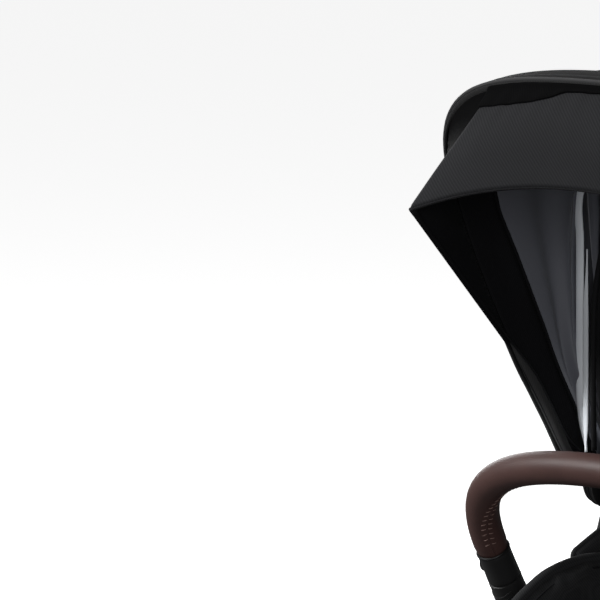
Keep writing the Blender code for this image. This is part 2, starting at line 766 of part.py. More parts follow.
def handle(root):
    _, _, handle_x, handle_end_x = fold_disc_x()
    fold = pivot("handle_fold", (0, FOLD_Y, FOLD_Z), root)
    along = Vector((0, HANDLE_BACK, HANDLE_RISE)).normalized()
    length = math.hypot(HANDLE_BACK, HANDLE_RISE)
    across = Vector((1, 0, 0)).cross(along)
    tube_x = (handle_x + handle_end_x) / 2 - 0.0005
    slide = pivot("handle_telescope", Vector((0, FOLD_Y, FOLD_Z)) + along * length, fold)
    for name, sign in SIDES:
        axis = (sign, 0, 0)
        foot = fold_centre(sign, tube_x)
        knuckle = pin(fold_centre(sign, handle_x), axis, FOLD_DISC_RADIUS, HANDLE_KNUCKLE_WIDTH, 20)
        tube = solid(f"handle_tube_{name}", knuckle, fold, SATIN_BLACK)
        halves = (tube_x - handle_x - GAP, HANDLE_TUBE_RADIUS + 0.003)
        boss = sweep([foot + along * d for d in (0.010, HANDLE_BORE_START)], axis, halves, 12)
        bore = HANDLE_TUBE_RADIUS - HANDLE_TUBE_WALL
        pipe = sweep(
            [foot + along * d for d in (HANDLE_BORE_START - 0.012, HANDLE_TUBE_END)],
            axis,
            (HANDLE_TUBE_RADIUS, HANDLE_TUBE_RADIUS),
            TELESCOPE_SIDES,
            bore,
        )
        joined(tube, fold, boss, pipe)
        trigger_at = foot + along * TRIGGER_START
        slot = pivot(f"fold_trigger_slide_{name}", trigger_at, fold)
        inner = HANDLE_TUBE_RADIUS + RUNNING
        outer = inner + TRIGGER_WALL
        profile = [
            (inner, 0.0),
            (outer - 0.003, 0.0),
            (outer, 0.006),
            (outer - 0.002, TRIGGER_LENGTH * 0.5),
            (outer, TRIGGER_LENGTH - 0.006),
            (outer - 0.003, TRIGGER_LENGTH),
            (inner, TRIGGER_LENGTH),
        ]
        sleeve = turned(profile, trigger_at, along, TELESCOPE_SIDES)
        solid(f"fold_trigger_{name}", sleeve, slot, MOULDED)
    handle_bow(slide, along, across, length, tube_x)


def handle_bow(slide, along, across, length, tube_x):
    """The inner tube with its crossbar, the leather grips and the button that frees the telescope."""
    base = Vector((0, FOLD_Y, FOLD_Z))
    start = HANDLE_TUBE_END - BOW_OVERLAP
    corners = [
        base + along * start + Vector((tube_x, 0, 0)),
        base + along * length + Vector((tube_x, 0, 0)),
        base + along * length - Vector((tube_x, 0, 0)),
        base + along * start - Vector((tube_x, 0, 0)),
    ]
    path = rounded(corners, BOW_CORNER, 4)
    tube = sweep(path, across, (BOW_RADIUS, BOW_RADIUS), TELESCOPE_SIDES)
    bow = solid("handle_bow", tube, slide, SATIN_BLACK)
    crown = base + along * length
    housing_path = [crown + Vector((x, 0, 0)) for x in (-BOW_HOUSING_HALF, BOW_HOUSING_HALF)]
    housing = sweep(housing_path, (0, 0, 1), (BOW_HOUSING_RADIUS, BOW_HOUSING_RADIUS), 16)
    joined(bow, slide, housing)
    button_top = crown + Vector((0, 0, BOW_HOUSING_RADIUS))
    floor = button_top - Vector((0, 0, HANDLE_BUTTON_TRAVEL + HANDLE_BUTTON_BODY - BUTTON_PROUD + GAP))
    pocket = pin(floor, (0, 0, 1), HANDLE_BUTTON_RADIUS + RUNNING, BOW_HOUSING_RADIUS, 14)
    cut(bow, slide, pocket)
    press = pivot("handle_button_slide", button_top, slide)
    start = floor + Vector((0, 0, HANDLE_BUTTON_TRAVEL + GAP))
    button = pin(start, (0, 0, 1), HANDLE_BUTTON_RADIUS, HANDLE_BUTTON_BODY, 14)
    solid("handle_button", button, press, MOULDED)
    middle = path_length(path) / 2
    grip_reach = tube_x + GRIP_LEG
    for name, sign in SIDES:
        inner_end = BOW_HOUSING_HALF + GAP
        if sign > 0:
            part = stretch(path, middle - grip_reach, middle - inner_end)
        else:
            part = stretch(path, middle + inner_end, middle + grip_reach)
        outer = BOW_RADIUS + RUNNING + GRIP_WALL
        grip = sweep(part, across, (outer, outer), TELESCOPE_SIDES, BOW_RADIUS + RUNNING)
        solid(f"handle_grip_{name}", grip, slide, LEATHER)


# Seat.


def seat_adapters(root):
    for name, sign in SIDES:
        start = fold_centre(sign, FOLD_INNER_X - GAP - ADAPTER_WIDTH / 2)
        end = Vector((start.x, SEAT_HUB_Y, SEAT_HUB_Z))
        line = (end - start).normalized()
        reach = (end - start).length - SEAT_HUB_RADIUS - GAP
        up = Vector((sign, 0, 0)).cross(line)
        loops = []
        for share, half in ((-0.40, 0.016), (-0.15, 0.026), (0.5, ADAPTER_HALF), (1.0, ADAPTER_HALF - 0.003)):
            centre = start + line * reach * share
            wide = Vector((ADAPTER_WIDTH / 2, 0, 0))
            loops.append(
                [
                    centre - wide - up * half,
                    centre + wide - up * half,
                    centre + wide + up * half,
                    centre - wide + up * half,
                ]
            )
        solid(f"seat_adapter_{name}", loft(loops), root, MOULDED)


def bar_point(sign, height):
    """A point on the straight part of the bumper bar's leg, at a height in the bar's own plane."""
    rise = Vector((0, -math.cos(BAR_PLANE), math.sin(BAR_PLANE)))
    return sided(sign, BAR_X, BAR_Y, BAR_Z) + rise * height


def seat_hubs(root):
    for name, sign in SIDES:
        axis = (sign, 0, 0)
        centre = sided(sign, SEAT_HUB_INNER_X, SEAT_HUB_Y, SEAT_HUB_Z)
        profile = [
            (0.0, 0.0),
            (SEAT_HUB_RADIUS, 0.0),
            (SEAT_HUB_RADIUS, SEAT_HUB_WIDTH - 0.006),
            (SEAT_HUB_RADIUS - 0.006, SEAT_HUB_WIDTH),
            (0.0, SEAT_HUB_WIDTH),
        ]
        hub = solid(f"seat_hub_{name}", turned(profile, centre, axis, 20), root, MOULDED)
        socket_path = [bar_point(sign, h) for h in (0.0, BAR_JOINT / 2, BAR_JOINT - GAP)]
        halves = [(BAR_RADIUS, 0.0220), (BAR_RADIUS, 0.0175), (BAR_RADIUS, BAR_RADIUS)]
        joined(hub, root, sweep(socket_path, axis, halves, 12))
        face = centre + Vector((sign * SEAT_HUB_WIDTH, 0, -RELEASE_DROP))
        inward = (-sign, 0, 0)
        mouth = face + Vector((sign * 0.002, 0, 0))
        cut(hub, root, pin(mouth, inward, RELEASE_RADIUS + RUNNING, RELEASE_DEPTH + 0.002, 16))
        press = pivot(f"seat_release_slide_{name}", face, root)
        top = face + Vector((sign * 0.0012, 0, 0))
        button = pin(top, inward, RELEASE_RADIUS, RELEASE_DEPTH - 0.0028, 16)
        solid(f"seat_release_{name}", button, press, MOULDED)


def seat_base(root):
    tube_x = SEAT_HUB_INNER_X - GAP - SEAT_TUBE_RADIUS
    corners = [
        Vector((tube_x, SEAT_TUBE_REAR_Y, SEAT_TUBE_REAR_Z)),
        Vector((tube_x, SEAT_FRONT_Y, SEAT_FRONT_Z)),
        Vector((-tube_x, SEAT_FRONT_Y, SEAT_FRONT_Z)),
        Vector((-tube_x, SEAT_TUBE_REAR_Y, SEAT_TUBE_REAR_Z)),
    ]
    path = rounded(corners, SEAT_CORNER, 4)
    frame = sweep(path, (0, 0, 1), (SEAT_TUBE_RADIUS, SEAT_TUBE_RADIUS), 12)
    solid("seat_base_frame", frame, root, SATIN_BLACK)
    seat_liner(root, tube_x)


def seat_liner(root, tube_x):
    """The padded trough of the seat: a floor between the tubes and two side bolsters."""
    between = tube_x - SEAT_TUBE_RADIUS - GAP
    profile = (
        (SEAT_FRONT_Y + SEAT_TUBE_RADIUS + GAP, tube_x - SEAT_CORNER - 0.003, 0.482),
        (SEAT_FRONT_Y + SEAT_CORNER, between, 0.490),
        (-0.190, between, 0.586),
        (-0.160, between, 0.6035),
        (-0.130, between, 0.6150),
        (-0.085, between, 0.6195),
        (-0.040, between, 0.6140),
        (-0.012, between, 0.605),
        (0.000, between, 0.590),
    )
    loops = []
    for y, base, top in profile:
        floor_top = LINER_BOTTOM_Z + LINER_FLOOR
        wide = min(LINER_HALF_WIDTH, base - 0.001)
        inner = wide - LINER_WALL
        low = LINER_BOTTOM_Z
        loops.append(
            [
                Vector((-base, y, low)),
                Vector((base, y, low)),
                Vector((base, y, floor_top)),
                Vector((wide, y, floor_top + 0.001)),
                Vector((wide, y, top)),
                Vector((inner, y, top)),
                Vector((inner, y, floor_top)),
                Vector((-inner, y, floor_top)),
                Vector((-inner, y, top)),
                Vector((-wide, y, top)),
                Vector((-wide, y, floor_top + 0.001)),
                Vector((-base, y, floor_top)),
            ]
        )
    solid("seat_liner", loft(loops), root, FABRIC_BLACK)


def leg_rest(root):
    hinge_y = SEAT_FRONT_Y - SEAT_TUBE_RADIUS - GAP - LEG_REST_TUBE
    at = Vector((0, hinge_y, SEAT_FRONT_Z))
    hinge = pivot("leg_rest_pivot", at, root)
    down = Vector((0, -math.sin(LEG_REST_LEAN), -math.cos(LEG_REST_LEAN)))
    front = Vector((0, -math.cos(LEG_REST_LEAN), math.sin(LEG_REST_LEAN)))
    across = Vector((LEG_REST_HALF, 0, 0))
    low = at + down * LEG_REST_LENGTH
    path = rounded([at + across, low + across, low - across, at - across], LEG_REST_CORNER, 4)
    solid("leg_rest_frame", sweep(path, front, (LEG_REST_TUBE, LEG_REST_TUBE), 8), hinge, SATIN_BLACK)
    half = LEG_REST_HALF - LEG_REST_TUBE - GAP
    loops = []
    for share, width in ((0.07, half - 0.008), (0.12, half), (0.80, half), (0.905, half - 0.030)):
        middle = at + down * LEG_REST_LENGTH * share
        thick = front * LEG_REST_PAD_HALF
        wide = Vector((width, 0, 0))
        back_edge = [middle - wide - thick, middle + wide - thick]
        front_edge = [middle + wide + thick, middle - wide + thick]
        loops.append(back_edge + front_edge)
    solid("leg_rest_pad", loft(loops), hinge, FABRIC_BLACK)


def buckle(root):
    foot = Vector((0, CROTCH_FOOT_Y, LINER_BOTTOM_Z + LINER_FLOOR + GAP + CROTCH_THICKNESS / 4))
    face = Vector((0, BUCKLE_Y, BUCKLE_Z))
    lean = Vector((0, -0.80, 0.60))
    back = face - lean * BUCKLE_DEPTH
    neck = face - lean * BUCKLE_DEPTH * 0.5 - Vector((0, 0.60, 0.80)) * (BUCKLE_RADIUS + GAP)
    halves = (CROTCH_HALF, CROTCH_THICKNESS / 2)
    solid("crotch_strap", sweep([foot, foot.lerp(neck, 0.5), neck], (1, 0, 0), halves, 8), root, WEBBING)
    profile = [
        (0.0, 0.0),
        (BUCKLE_RADIUS - 0.003, 0.0),
        (BUCKLE_RADIUS, 0.003),
        (BUCKLE_RADIUS, BUCKLE_DEPTH - 0.004),
        (BUCKLE_RADIUS - 0.004, BUCKLE_DEPTH),
        (BUCKLE_BUTTON_RADIUS + RUNNING, BUCKLE_DEPTH),
        (BUCKLE_BUTTON_RADIUS + RUNNING, BUCKLE_DEPTH - 0.0055),
        (0.0, BUCKLE_DEPTH - 0.0055),
    ]
    solid("buckle", turned(profile, back, lean, 16), root, MOULDED)
    press = pivot("buckle_button_slide", face, root)
    button_at = face - lean * 0.0020
    solid("buckle_button", pin(button_at, lean, BUCKLE_BUTTON_RADIUS, 0.0030, 16), press, MOULDED)


# Bumper bar.


def bar_path(steps, start):
    """The bar's middle line from one leg to the other, each from a height in the bar's plane."""
    rise = Vector((0, -math.cos(BAR_PLANE), math.sin(BAR_PLANE)))
    base = Vector((0, BAR_Y, BAR_Z))

    def at(across, height):
        return base + Vector((across, 0, 0)) + rise * height

    half = bezier(
        at(BAR_X, BAR_STRAIGHT),
        at(BAR_X, BAR_STRAIGHT + BAR_SHOULDER),
        at(BAR_CROWN_HALF, BAR_REACH),
        at(0, BAR_REACH),
        steps,
    )
    other = [Vector((-p.x, p.y, p.z)) for p in reversed(half[:-1])]
    return [at(BAR_X, start)] + half + other + [at(-BAR_X, start)]


def bumper_bar(root):
    swing = pivot("bumper_bar_swing", bar_point(1, BAR_JOINT), root)
    normal = Vector((0, math.sin(BAR_PLANE), math.cos(BAR_PLANE)))
    core_path = bar_path(BAR_STEPS, (BAR_JOINT + BAR_LEATHER_START) / 2)
    core = sweep(core_path, normal, (BAR_CORE_RADIUS, BAR_CORE_RADIUS), 10)
    bar = solid("bumper_bar", core, swing, MOULDED)
    for _, sign in SIDES:
        ends = [bar_point(sign, h) for h in (BAR_JOINT, BAR_LEATHER_START - GAP)]
        joined(bar, swing, sweep(ends, (1, 0, 0), (BAR_RADIUS, BAR_RADIUS), 16))
    for name, sign in SIDES:
        face = bar_point(sign, BAR_BUTTON_AT) + Vector((sign * BAR_RADIUS, 0, 0))
        inward = (-sign, 0, 0)
        mouth = face + Vector((sign * 0.004, 0, 0))
        cut(bar, swing, pin(mouth, inward, BAR_BUTTON_RADIUS + RUNNING, BAR_BUTTON_DEPTH + 0.004, 14))
        press = pivot(f"bar_button_slide_{name}", face, swing)
        top = face + Vector((sign * BUTTON_PROUD, 0, 0))
        button = pin(top, inward, BAR_BUTTON_RADIUS, BAR_BUTTON_DEPTH + BUTTON_PROUD - 0.0025, 14)
        solid(f"bar_button_{name}", button, press, MOULDED)
    leather = sweep(
        bar_path(BAR_STEPS, BAR_LEATHER_START),
        normal,
        (BAR_RADIUS, BAR_RADIUS),
        10,
        BAR_CORE_RADIUS + 2 * GAP,
    )
    solid("bumper_grip", leather, swing, LEATHER)


# Backrest.


def back_axes():
    up = Vector((0, -SEAT_HUB_Y, CANOPY_Z - SEAT_HUB_Z)).normalized()
    front = Vector((1, 0, 0)).cross(up) * -1
    if front.y > 0:
        front.negate()
    return up, front


def back_point(x, along, forward):
    up, front = back_axes()
    return Vector((x, SEAT_HUB_Y, SEAT_HUB_Z)) + up * along + front * forward


def backrest(root):
    recline = pivot("seat_recline", (0, SEAT_HUB_Y, SEAT_HUB_Z), root)
    _, front = back_axes()
    corners = [
        back_point(BACK_TUBE_X, 0.0, 0.0),
        back_point(BACK_TUBE_X, BACK_LENGTH, 0.0),
        back_point(-BACK_TUBE_X, BACK_LENGTH, 0.0),
        back_point(-BACK_TUBE_X, 0.0, 0.0),
    ]
    path = rounded(corners, BACK_CORNER, 4)
    tube = sweep(path, front, (BACK_TUBE_RADIUS, BACK_TUBE_RADIUS), 12)
    frame = solid("backrest_frame", tube, recline, SATIN_BLACK)
    disc_start = BACK_TUBE_X - 0.006
    disc_width = SEAT_HUB_INNER_X - GAP - disc_start
    for _, sign in SIDES:
        disc = pin(back_point(sign * disc_start, 0, 0), (sign, 0, 0), BACK_DISC_RADIUS, disc_width, 16)
        joined(frame, recline, disc)
    back_pad(recline)
    headrest(recline)
    for name, sign in SIDES:
        shoulder_strap(recline, name, sign)
    lever = pivot("recline_lever_pivot", back_point(0, LEVER_AT, 0), recline)
    recline_lever(lever)
    return recline


def back_pad(recline):
    """The padded back with a wing along each side."""
    loops = []
    for along in (-BACK_PAD_BELOW, 0.06, WING_START - 0.008):
        loops.append(back_section(along, BACK_PAD_HALF, 0.0, False))
    for along, half, forward in (
        (WING_START, WING_OUTER, 0.045),
        (0.20, WING_OUTER, WING_FRONT),
        (0.33, WING_OUTER, WING_FRONT),
        (0.41, WING_OUTER, 0.055),
        (BACK_LENGTH - BACK_CORNER - 0.012, WING_OUTER, 0.032),
        (BACK_LENGTH - BACK_TUBE_RADIUS - 0.006, WING_OUTER - BACK_CORNER, BACK_PAD_FRONT + 0.001),
    ):
        loops.append(back_section(along, half, forward, True))
    solid("backrest_pad", loft(loops), recline, FABRIC_BLACK)


def back_section(along, half, forward, winged):
    """One closed outline of the pad, from its right edge across the back and over the wings."""
    reach = max(forward, BACK_PAD_FRONT)
    inner = half - 0.024 if winged else half - 0.010
    outline = [
        (-half, -BACK_PAD_BACK),
        (half, -BACK_PAD_BACK),
        (half, reach),
        (inner, reach),
        (inner - 0.004, BACK_PAD_FRONT),
        (-inner + 0.004, BACK_PAD_FRONT),
        (-inner, reach),
        (-half, reach),
    ]
    return [back_point(x, along, forward_at) for x, forward_at in outline]


def headrest(recline):
    loops = []
    near = BACK_PAD_FRONT + GAP
    for along, half, thick in (
        (HEADREST_FROM, HEADREST_HALF * 0.92, HEADREST_THICKNESS * 0.5),
        (HEADREST_FROM + 0.02, HEADREST_HALF, HEADREST_THICKNESS),
        (HEADREST_TO - 0.02, HEADREST_HALF, HEADREST_THICKNESS),
        (HEADREST_TO, HEADREST_HALF * 0.85, HEADREST_THICKNESS * 0.5),
    ):
        loops.append(
            [
                back_point(-half, along, near),
                back_point(half, along, near),
                back_point(half, along, near + thick),
                back_point(-half, along, near + thick),
            ]
        )
    solid("headrest", loft(loops), recline, FABRIC_BLACK)


def shoulder_strap(recline, name, sign):
    near = BACK_PAD_FRONT + GAP + STRAP_THICKNESS / 2
    shares = ((STRAP_FROM, 0.8), (0.19, 0.95), (STRAP_TO, 1.0))
    path = [back_point(sign * STRAP_X * share, along, near) for along, share in shares]
    _, front = back_axes()
    strap = sweep(path, front, (STRAP_THICKNESS / 2, STRAP_HALF), 8)
    solid(f"shoulder_strap_{name}", strap, recline, WEBBING)


def recline_lever(lever):
    """The squeeze lever behind the top of the backrest."""
    behind = -BACK_PAD_BACK - GAP
    loops = []
    for along, thick in ((-0.020, 0.006), (-0.006, 0.014), (0.014, 0.016), (0.024, 0.008)):
        loops.append(
            [
                back_point(-LEVER_HALF, LEVER_AT + along, behind),
                back_point(LEVER_HALF, LEVER_AT + along, behind),
                back_point(LEVER_HALF, LEVER_AT + along, behind - thick),
                back_point(-LEVER_HALF, LEVER_AT + along, behind - thick),
            ]
        )
    solid("recline_lever", loft(loops), lever, MOULDED)


# Canopy.


def arch(inset, crown, count):
    """Half outline of a canopy bow as (half width, height) points, from the hinge to the crown."""
    foot = CANOPY_FOOT_HALF - inset
    wide = CANOPY_HALF_WIDTH - inset
    waist = CANOPY_WAIST_HEIGHT
    side = bezier(
        Vector((foot, 0, 0)),
        Vector((foot + (wide - foot) * 0.55, waist * 0.4, 0)),
        Vector((wide, waist * 0.62, 0)),
        Vector((wide, waist, 0)),
        count // 2,
    )
    top = bezier(
        Vector((wide, waist, 0)),
        Vector((wide, waist + CANOPY_SHOULDER_UP * (crown - waist), 0)),
        Vector((wide * CANOPY_SHOULDER_ALONG, crown, 0)),
        Vector((0, crown, 0)),
        count,
    )
    return [(p.x, p.y) for p in side + top[1:]]


def at_lean(x, radius, lean):
    return Vector((x, -radius * math.sin(lean), CANOPY_Z + radius * math.cos(lean)))


def full_arch(half):
    return half + [(-x, h) for x, h in reversed(half[:-1])]


def bow_path(inset, crown, lean, count, start):
    points = [p for p in full_arch(arch(inset, crown, count)) if p[1] >= start]
    return [at_lean(x, h, lean) for x, h in points]


def hinge_layers():
    """Start of each layer of the canopy hinge along X: visor wire, middle bow, front bow, cap."""
    visor = BACK_TUBE_X + BACK_TUBE_RADIUS + GAP
    middle = visor + VISOR_KNUCKLE + GAP
    front = middle + MID_KNUCKLE + GAP
    cap = front + FRONT_KNUCKLE + GAP
    return visor, middle, front, cap


def shell(name, rows, carrier, thickness):
    """A cloth panel through rows of points, thickened towards the inside."""
    bm = bmesh.new()
    grid = [[bm.verts.new(p) for p in row] for row in rows]
    for first, second in zip(grid, grid[1:]):
        for k in range(1, len(first)):
            bm.faces.new((first[k - 1], first[k], second[k], second[k - 1]))
    crown_face = min(bm.faces, key=lambda f: abs(f.calc_center_median().x))
    outward = crown_face.calc_center_median() - Vector((0, 0, CANOPY_Z))
    item = solid(name, bm, carrier, FABRIC_BLACK)
    item.data.update()
    middle = min(item.data.polygons, key=lambda p: abs(p.center.x))
    if middle.normal.dot(outward) < 0:
        item.data.flip_normals()
    modifier = item.modifiers.new("thickness", "SOLIDIFY")
    modifier.thickness = thickness
    modifier.offset = -1.0
    modifier.use_even_offset = True
    return item


def panel_rows(front, rear, steps, count, foot):
    """Rows between two bows, each given as inset, crown and lean."""
    ends = []
    for inset, crown, lean in (front, rear):
        ends.append(bow_path(inset, crown, lean, count, foot))
    fewest = min(len(row) for row in ends)
    first, last = [trimmed(row, fewest) for row in ends]
    rows = []
    for i in range(steps + 1):
        rows.append([a.lerp(b, i / steps) for a, b in zip(first, last)])
    return rows


def trimmed(row, count):
    extra = (len(row) - count) // 2
    return row[extra : extra + count]


def canopy(recline):
    hinge = (0, 0, CANOPY_Z)
    visor_x, middle_x, front_x, cap_x = hinge_layers()
    for name, sign in SIDES:
        start = sided(sign, visor_x, 0, CANOPY_Z)
        spindle = pin(start, (sign, 0, 0), HINGE_PIN, cap_x - visor_x + OVERLAP, 12)
        hub = solid(f"canopy_hub_{name}", spindle, recline, MOULDED)
        cap = [
            (0.0, 0.0),
            (HINGE_RADIUS, 0.0),
            (HINGE_RADIUS, HINGE_CAP * 0.5),
            (HINGE_RADIUS - 0.004, HINGE_CAP),
            (0.0, HINGE_CAP),
        ]
        joined(hub, recline, turned(cap, sided(sign, cap_x, 0, CANOPY_Z), (sign, 0, 0), 18))
    rear = panel_rows(
        (REAR_INSET, REAR_FRONT_CROWN, MID_LEAN),
        (REAR_INSET + REAR_BACK_NARROWER, REAR_BACK_CROWN, REAR_BACK_LEAN),
        2,
        10,
        REAR_PANEL_FOOT,
    )
    shell("canopy_rear_panel", rear, recline, FABRIC)
    middle = pivot("canopy_mid_fold", hinge, recline)
    canopy_bow("canopy_mid_bow", middle, middle_x, MID_KNUCKLE, MID_INSET, MID_CROWN, MID_LEAN)
    front = pivot("canopy_fold", hinge, recline)
    inside = FABRIC + BOW_CLEARANCE + BOW_STRIP[1]
    canopy_bow("canopy_front_bow", front, front_x, FRONT_KNUCKLE, inside, FRONT_CROWN - inside, FRONT_LEAN)
    rows = panel_rows(
        (0.0, FRONT_CROWN, FRONT_LEAN),
        (0.002, PANEL_REAR_CROWN, PANEL_REAR_LEAN),
        3,
        10,
        PANEL_FOOT,
    )
    shell("canopy_front_panel", rows, front, FABRIC)
    visor(front, visor_x)


def canopy_bow(name, carrier, x, knuckle, inset, crown, lean):
    """A flat strip bent over the canopy, with a knuckle at each hinge."""
    points = bow_path(inset, crown, lean, 10, BOW_FREE_FROM)
    root_x = x + knuckle / 2
    roots = [at_lean(root_x, HINGE_RADIUS * share, lean) for share in (0.5, 1.06)]
    mirrored = [Vector((-p.x, p.y, p.z)) for p in reversed(roots)]
    path = roots + points + mirrored
    item = solid(name, sweep(path, (0, -1, 0), BOW_STRIP, 4), carrier, SATIN_BLACK)
    for _, sign in SIDES:
        centre = sided(sign, x, 0, CANOPY_Z)
        ring = pin(centre, (sign, 0, 0), HINGE_RADIUS - 0.003, knuckle, 12, HINGE_PIN + RUNNING)
        joined(item, carrier, ring)


def visor_point(across, down):
    """A point of the visor's outer face, from -1 to 1 across it and 0 to 1 down to its free edge."""
    half = VISOR_TOP_HALF + (VISOR_EDGE_HALF - VISOR_TOP_HALF) * down
    crown = VISOR_TOP_CROWN + (VISOR_EDGE_CROWN - VISOR_TOP_CROWN) * down
    drop = VISOR_TOP_DROP + (VISOR_EDGE_DROP - VISOR_TOP_DROP) * down
    lean = VISOR_TOP_LEAN + (VISOR_EDGE_LEAN - VISOR_TOP_LEAN) * down
    lean += VISOR_EDGE_TIP * down * across * across
    return at_lean(half * across, crown - drop * across * across, lean)


def visor(front, visor_x):
    """The stiffened peak and the wires that carry it from the canopy hinge."""
    fold = pivot("visor_fold", (0, 0, CANOPY_Z), front)
    steps = 2
    count = 10
    rows = []
    for i in range(steps + 1):
        rows.append([visor_point(1 - 2 * k / count, i / steps) for k in range(count + 1)])
    item = shell("visor", rows, fold, FABRIC)
    middle_x = visor_x + VISOR_KNUCKLE / 2
    for _, sign in SIDES:
        centre = sided(sign, visor_x, 0, CANOPY_Z)
        ring = pin(centre, (sign, 0, 0), HINGE_RADIUS * 0.6, VISOR_KNUCKLE, 12, HINGE_PIN + RUNNING)
        hinge = Vector((0, 0, CANOPY_Z))
        corner = visor_point(sign, VISOR_WIRE_END)
        corner -= (corner - hinge).normalized() * FABRIC / 2
        corner.x = sign * (VISOR_EDGE_HALF - VISOR_WIRE_INSET)
        foot = at_lean(sign * middle_x, HINGE_PIN + 0.004, VISOR_EDGE_LEAN)
        wire = sweep([foot, foot.lerp(corner, 0.5), corner], (sign, 0, 0), VISOR_WIRE, 6)
        joined(item, fold, ring, wire)


def layout_shift():
    """Half of the model's depth puts its middle over the origin."""
    caster_reach = FRONT_WHEEL_RADIUS - CASTER_TRAIL - CASTER_Y
    handle_reach = FOLD_Y + HANDLE_BACK + BOW_HOUSING_RADIUS
    return (caster_reach - handle_reach) / 2


def main():
    for item in list(bpy.data.objects):
        bpy.data.objects.remove(item)
    layout = pivot("layout", (0, 0, 0))
    layout.empty.location.y = layout_shift()
    chassis_front(layout)
    basket(layout)
    rear_legs(layout)
    casters(layout)
    handle(layout)
    seat_adapters(layout)
    seat_hubs(layout)
    seat_base(layout)
    leg_rest(layout)
    buckle(layout)
    bumper_bar(layout)
    recline = backrest(layout)
    canopy(recline)


main()
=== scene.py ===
import json
from math import copysign, cos, hypot, pi, radians, sin, sqrt

import bpy
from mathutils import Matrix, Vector, noise
from mathutils.bvhtree import BVHTree


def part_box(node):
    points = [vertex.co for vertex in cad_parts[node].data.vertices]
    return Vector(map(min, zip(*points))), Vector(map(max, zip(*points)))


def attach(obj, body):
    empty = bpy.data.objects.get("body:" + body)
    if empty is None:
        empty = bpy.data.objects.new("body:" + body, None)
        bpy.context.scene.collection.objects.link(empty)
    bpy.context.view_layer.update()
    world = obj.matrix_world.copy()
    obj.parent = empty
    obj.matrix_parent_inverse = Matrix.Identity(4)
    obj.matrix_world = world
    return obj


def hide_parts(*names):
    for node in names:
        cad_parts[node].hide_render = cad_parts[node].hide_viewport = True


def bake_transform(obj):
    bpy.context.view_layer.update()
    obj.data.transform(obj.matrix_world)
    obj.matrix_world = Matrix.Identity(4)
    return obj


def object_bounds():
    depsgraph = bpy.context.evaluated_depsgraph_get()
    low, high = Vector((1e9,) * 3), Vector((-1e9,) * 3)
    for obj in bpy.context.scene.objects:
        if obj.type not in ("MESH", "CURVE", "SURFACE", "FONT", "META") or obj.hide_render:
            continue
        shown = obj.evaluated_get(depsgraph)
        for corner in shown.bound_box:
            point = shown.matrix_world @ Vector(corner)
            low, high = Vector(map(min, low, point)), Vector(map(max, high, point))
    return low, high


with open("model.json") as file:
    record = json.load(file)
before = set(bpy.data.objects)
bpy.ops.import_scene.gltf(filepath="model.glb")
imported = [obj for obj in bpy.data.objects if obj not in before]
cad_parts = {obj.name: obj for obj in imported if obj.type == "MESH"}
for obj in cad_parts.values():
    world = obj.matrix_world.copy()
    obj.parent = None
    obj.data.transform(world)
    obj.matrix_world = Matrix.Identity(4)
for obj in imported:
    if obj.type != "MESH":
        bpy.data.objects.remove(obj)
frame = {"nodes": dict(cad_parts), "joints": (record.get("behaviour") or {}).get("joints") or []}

cad_low, cad_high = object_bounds()
SIDES = (("left", 1), ("right", -1))
JOINTS = {joint["name"]: joint for joint in frame["joints"]}
WHITE = (1.0, 1.0, 1.0, 1.0)


def joint_at(name):
    return Vector(JOINTS[name]["pos_m"])


# The canopy's hinge, which all canopy, visor and camera points are measured from.
HINGE = joint_at("canopy_fold")
SEAT_HUB = joint_at("seat_recline")
FRONT_LEAN = 32.0
MID_LEAN = 5.0
REAR_LEAN = -19.0


# Camera, floor and light.


def look(forward):
    return forward.to_track_quat("-Z", "Y")


def toward_camera(azimuth, elevation):
    flat = cos(elevation)
    return Vector((sin(azimuth) * flat, -cos(azimuth) * flat, sin(elevation)))


def make_camera():
    """The photograph's camera, on a long lens, turned aside so that the product runs out of view."""
    azimuth, elevation, distance = 0.65, 0.189, 4.0
    turned_aside, tipped_up = 0.109, 0.046
    data = bpy.data.cameras.new("camera")
    data.sensor_width = 36.0
    data.lens = 261.8
    camera = bpy.data.objects.new("camera", data)
    bpy.context.scene.collection.objects.link(camera)
    camera.location = HINGE + toward_camera(azimuth, elevation) * distance
    camera.rotation_mode = "QUATERNION"
    camera.rotation_quaternion = look(-toward_camera(azimuth + turned_aside, elevation - tipped_up))
    bpy.context.scene.camera = camera


def area_light(name, position, target, size, power):
    data = bpy.data.lights.new(name, "AREA")
    data.shape = "RECTANGLE"
    data.size, data.size_y = size
    data.energy = power
    light = bpy.data.objects.new(name, data)
    bpy.context.scene.collection.objects.link(light)
    light.location = position
    light.rotation_mode = "QUATERNION"
    light.rotation_quaternion = look(Vector(target) - Vector(position))


def make_studio():
    bpy.context.scene.view_settings.view_transform = "Standard"
    world = bpy.data.worlds.new("studio")
    bpy.context.scene.world = world
    world.use_nodes = True
    set_inputs(world.node_tree.nodes["Background"], Color=WHITE, Strength=0.14)
    area_light("key", (-2.3, -2.5, 2.8), (0, 0, 0.8), (1.5, 1.2), 165)
    area_light("front", (2.4, -3.2, 1.6), (0, 0, 0.8), (1.4, 1.4), 42)
    area_light("top", (-0.2, 0.0, 3.6), (0, 0, 0.6), (2.2, 2.2), 40)
    area_light("rear", (1.4, 3.0, 2.4), (0, 0, 0.7), (1.6, 1.4), 90)
    area_light("low", (-2.6, 1.6, 1.4), (0, 0, 0.7), (1.6, 1.4), 40)
    make_backdrop()


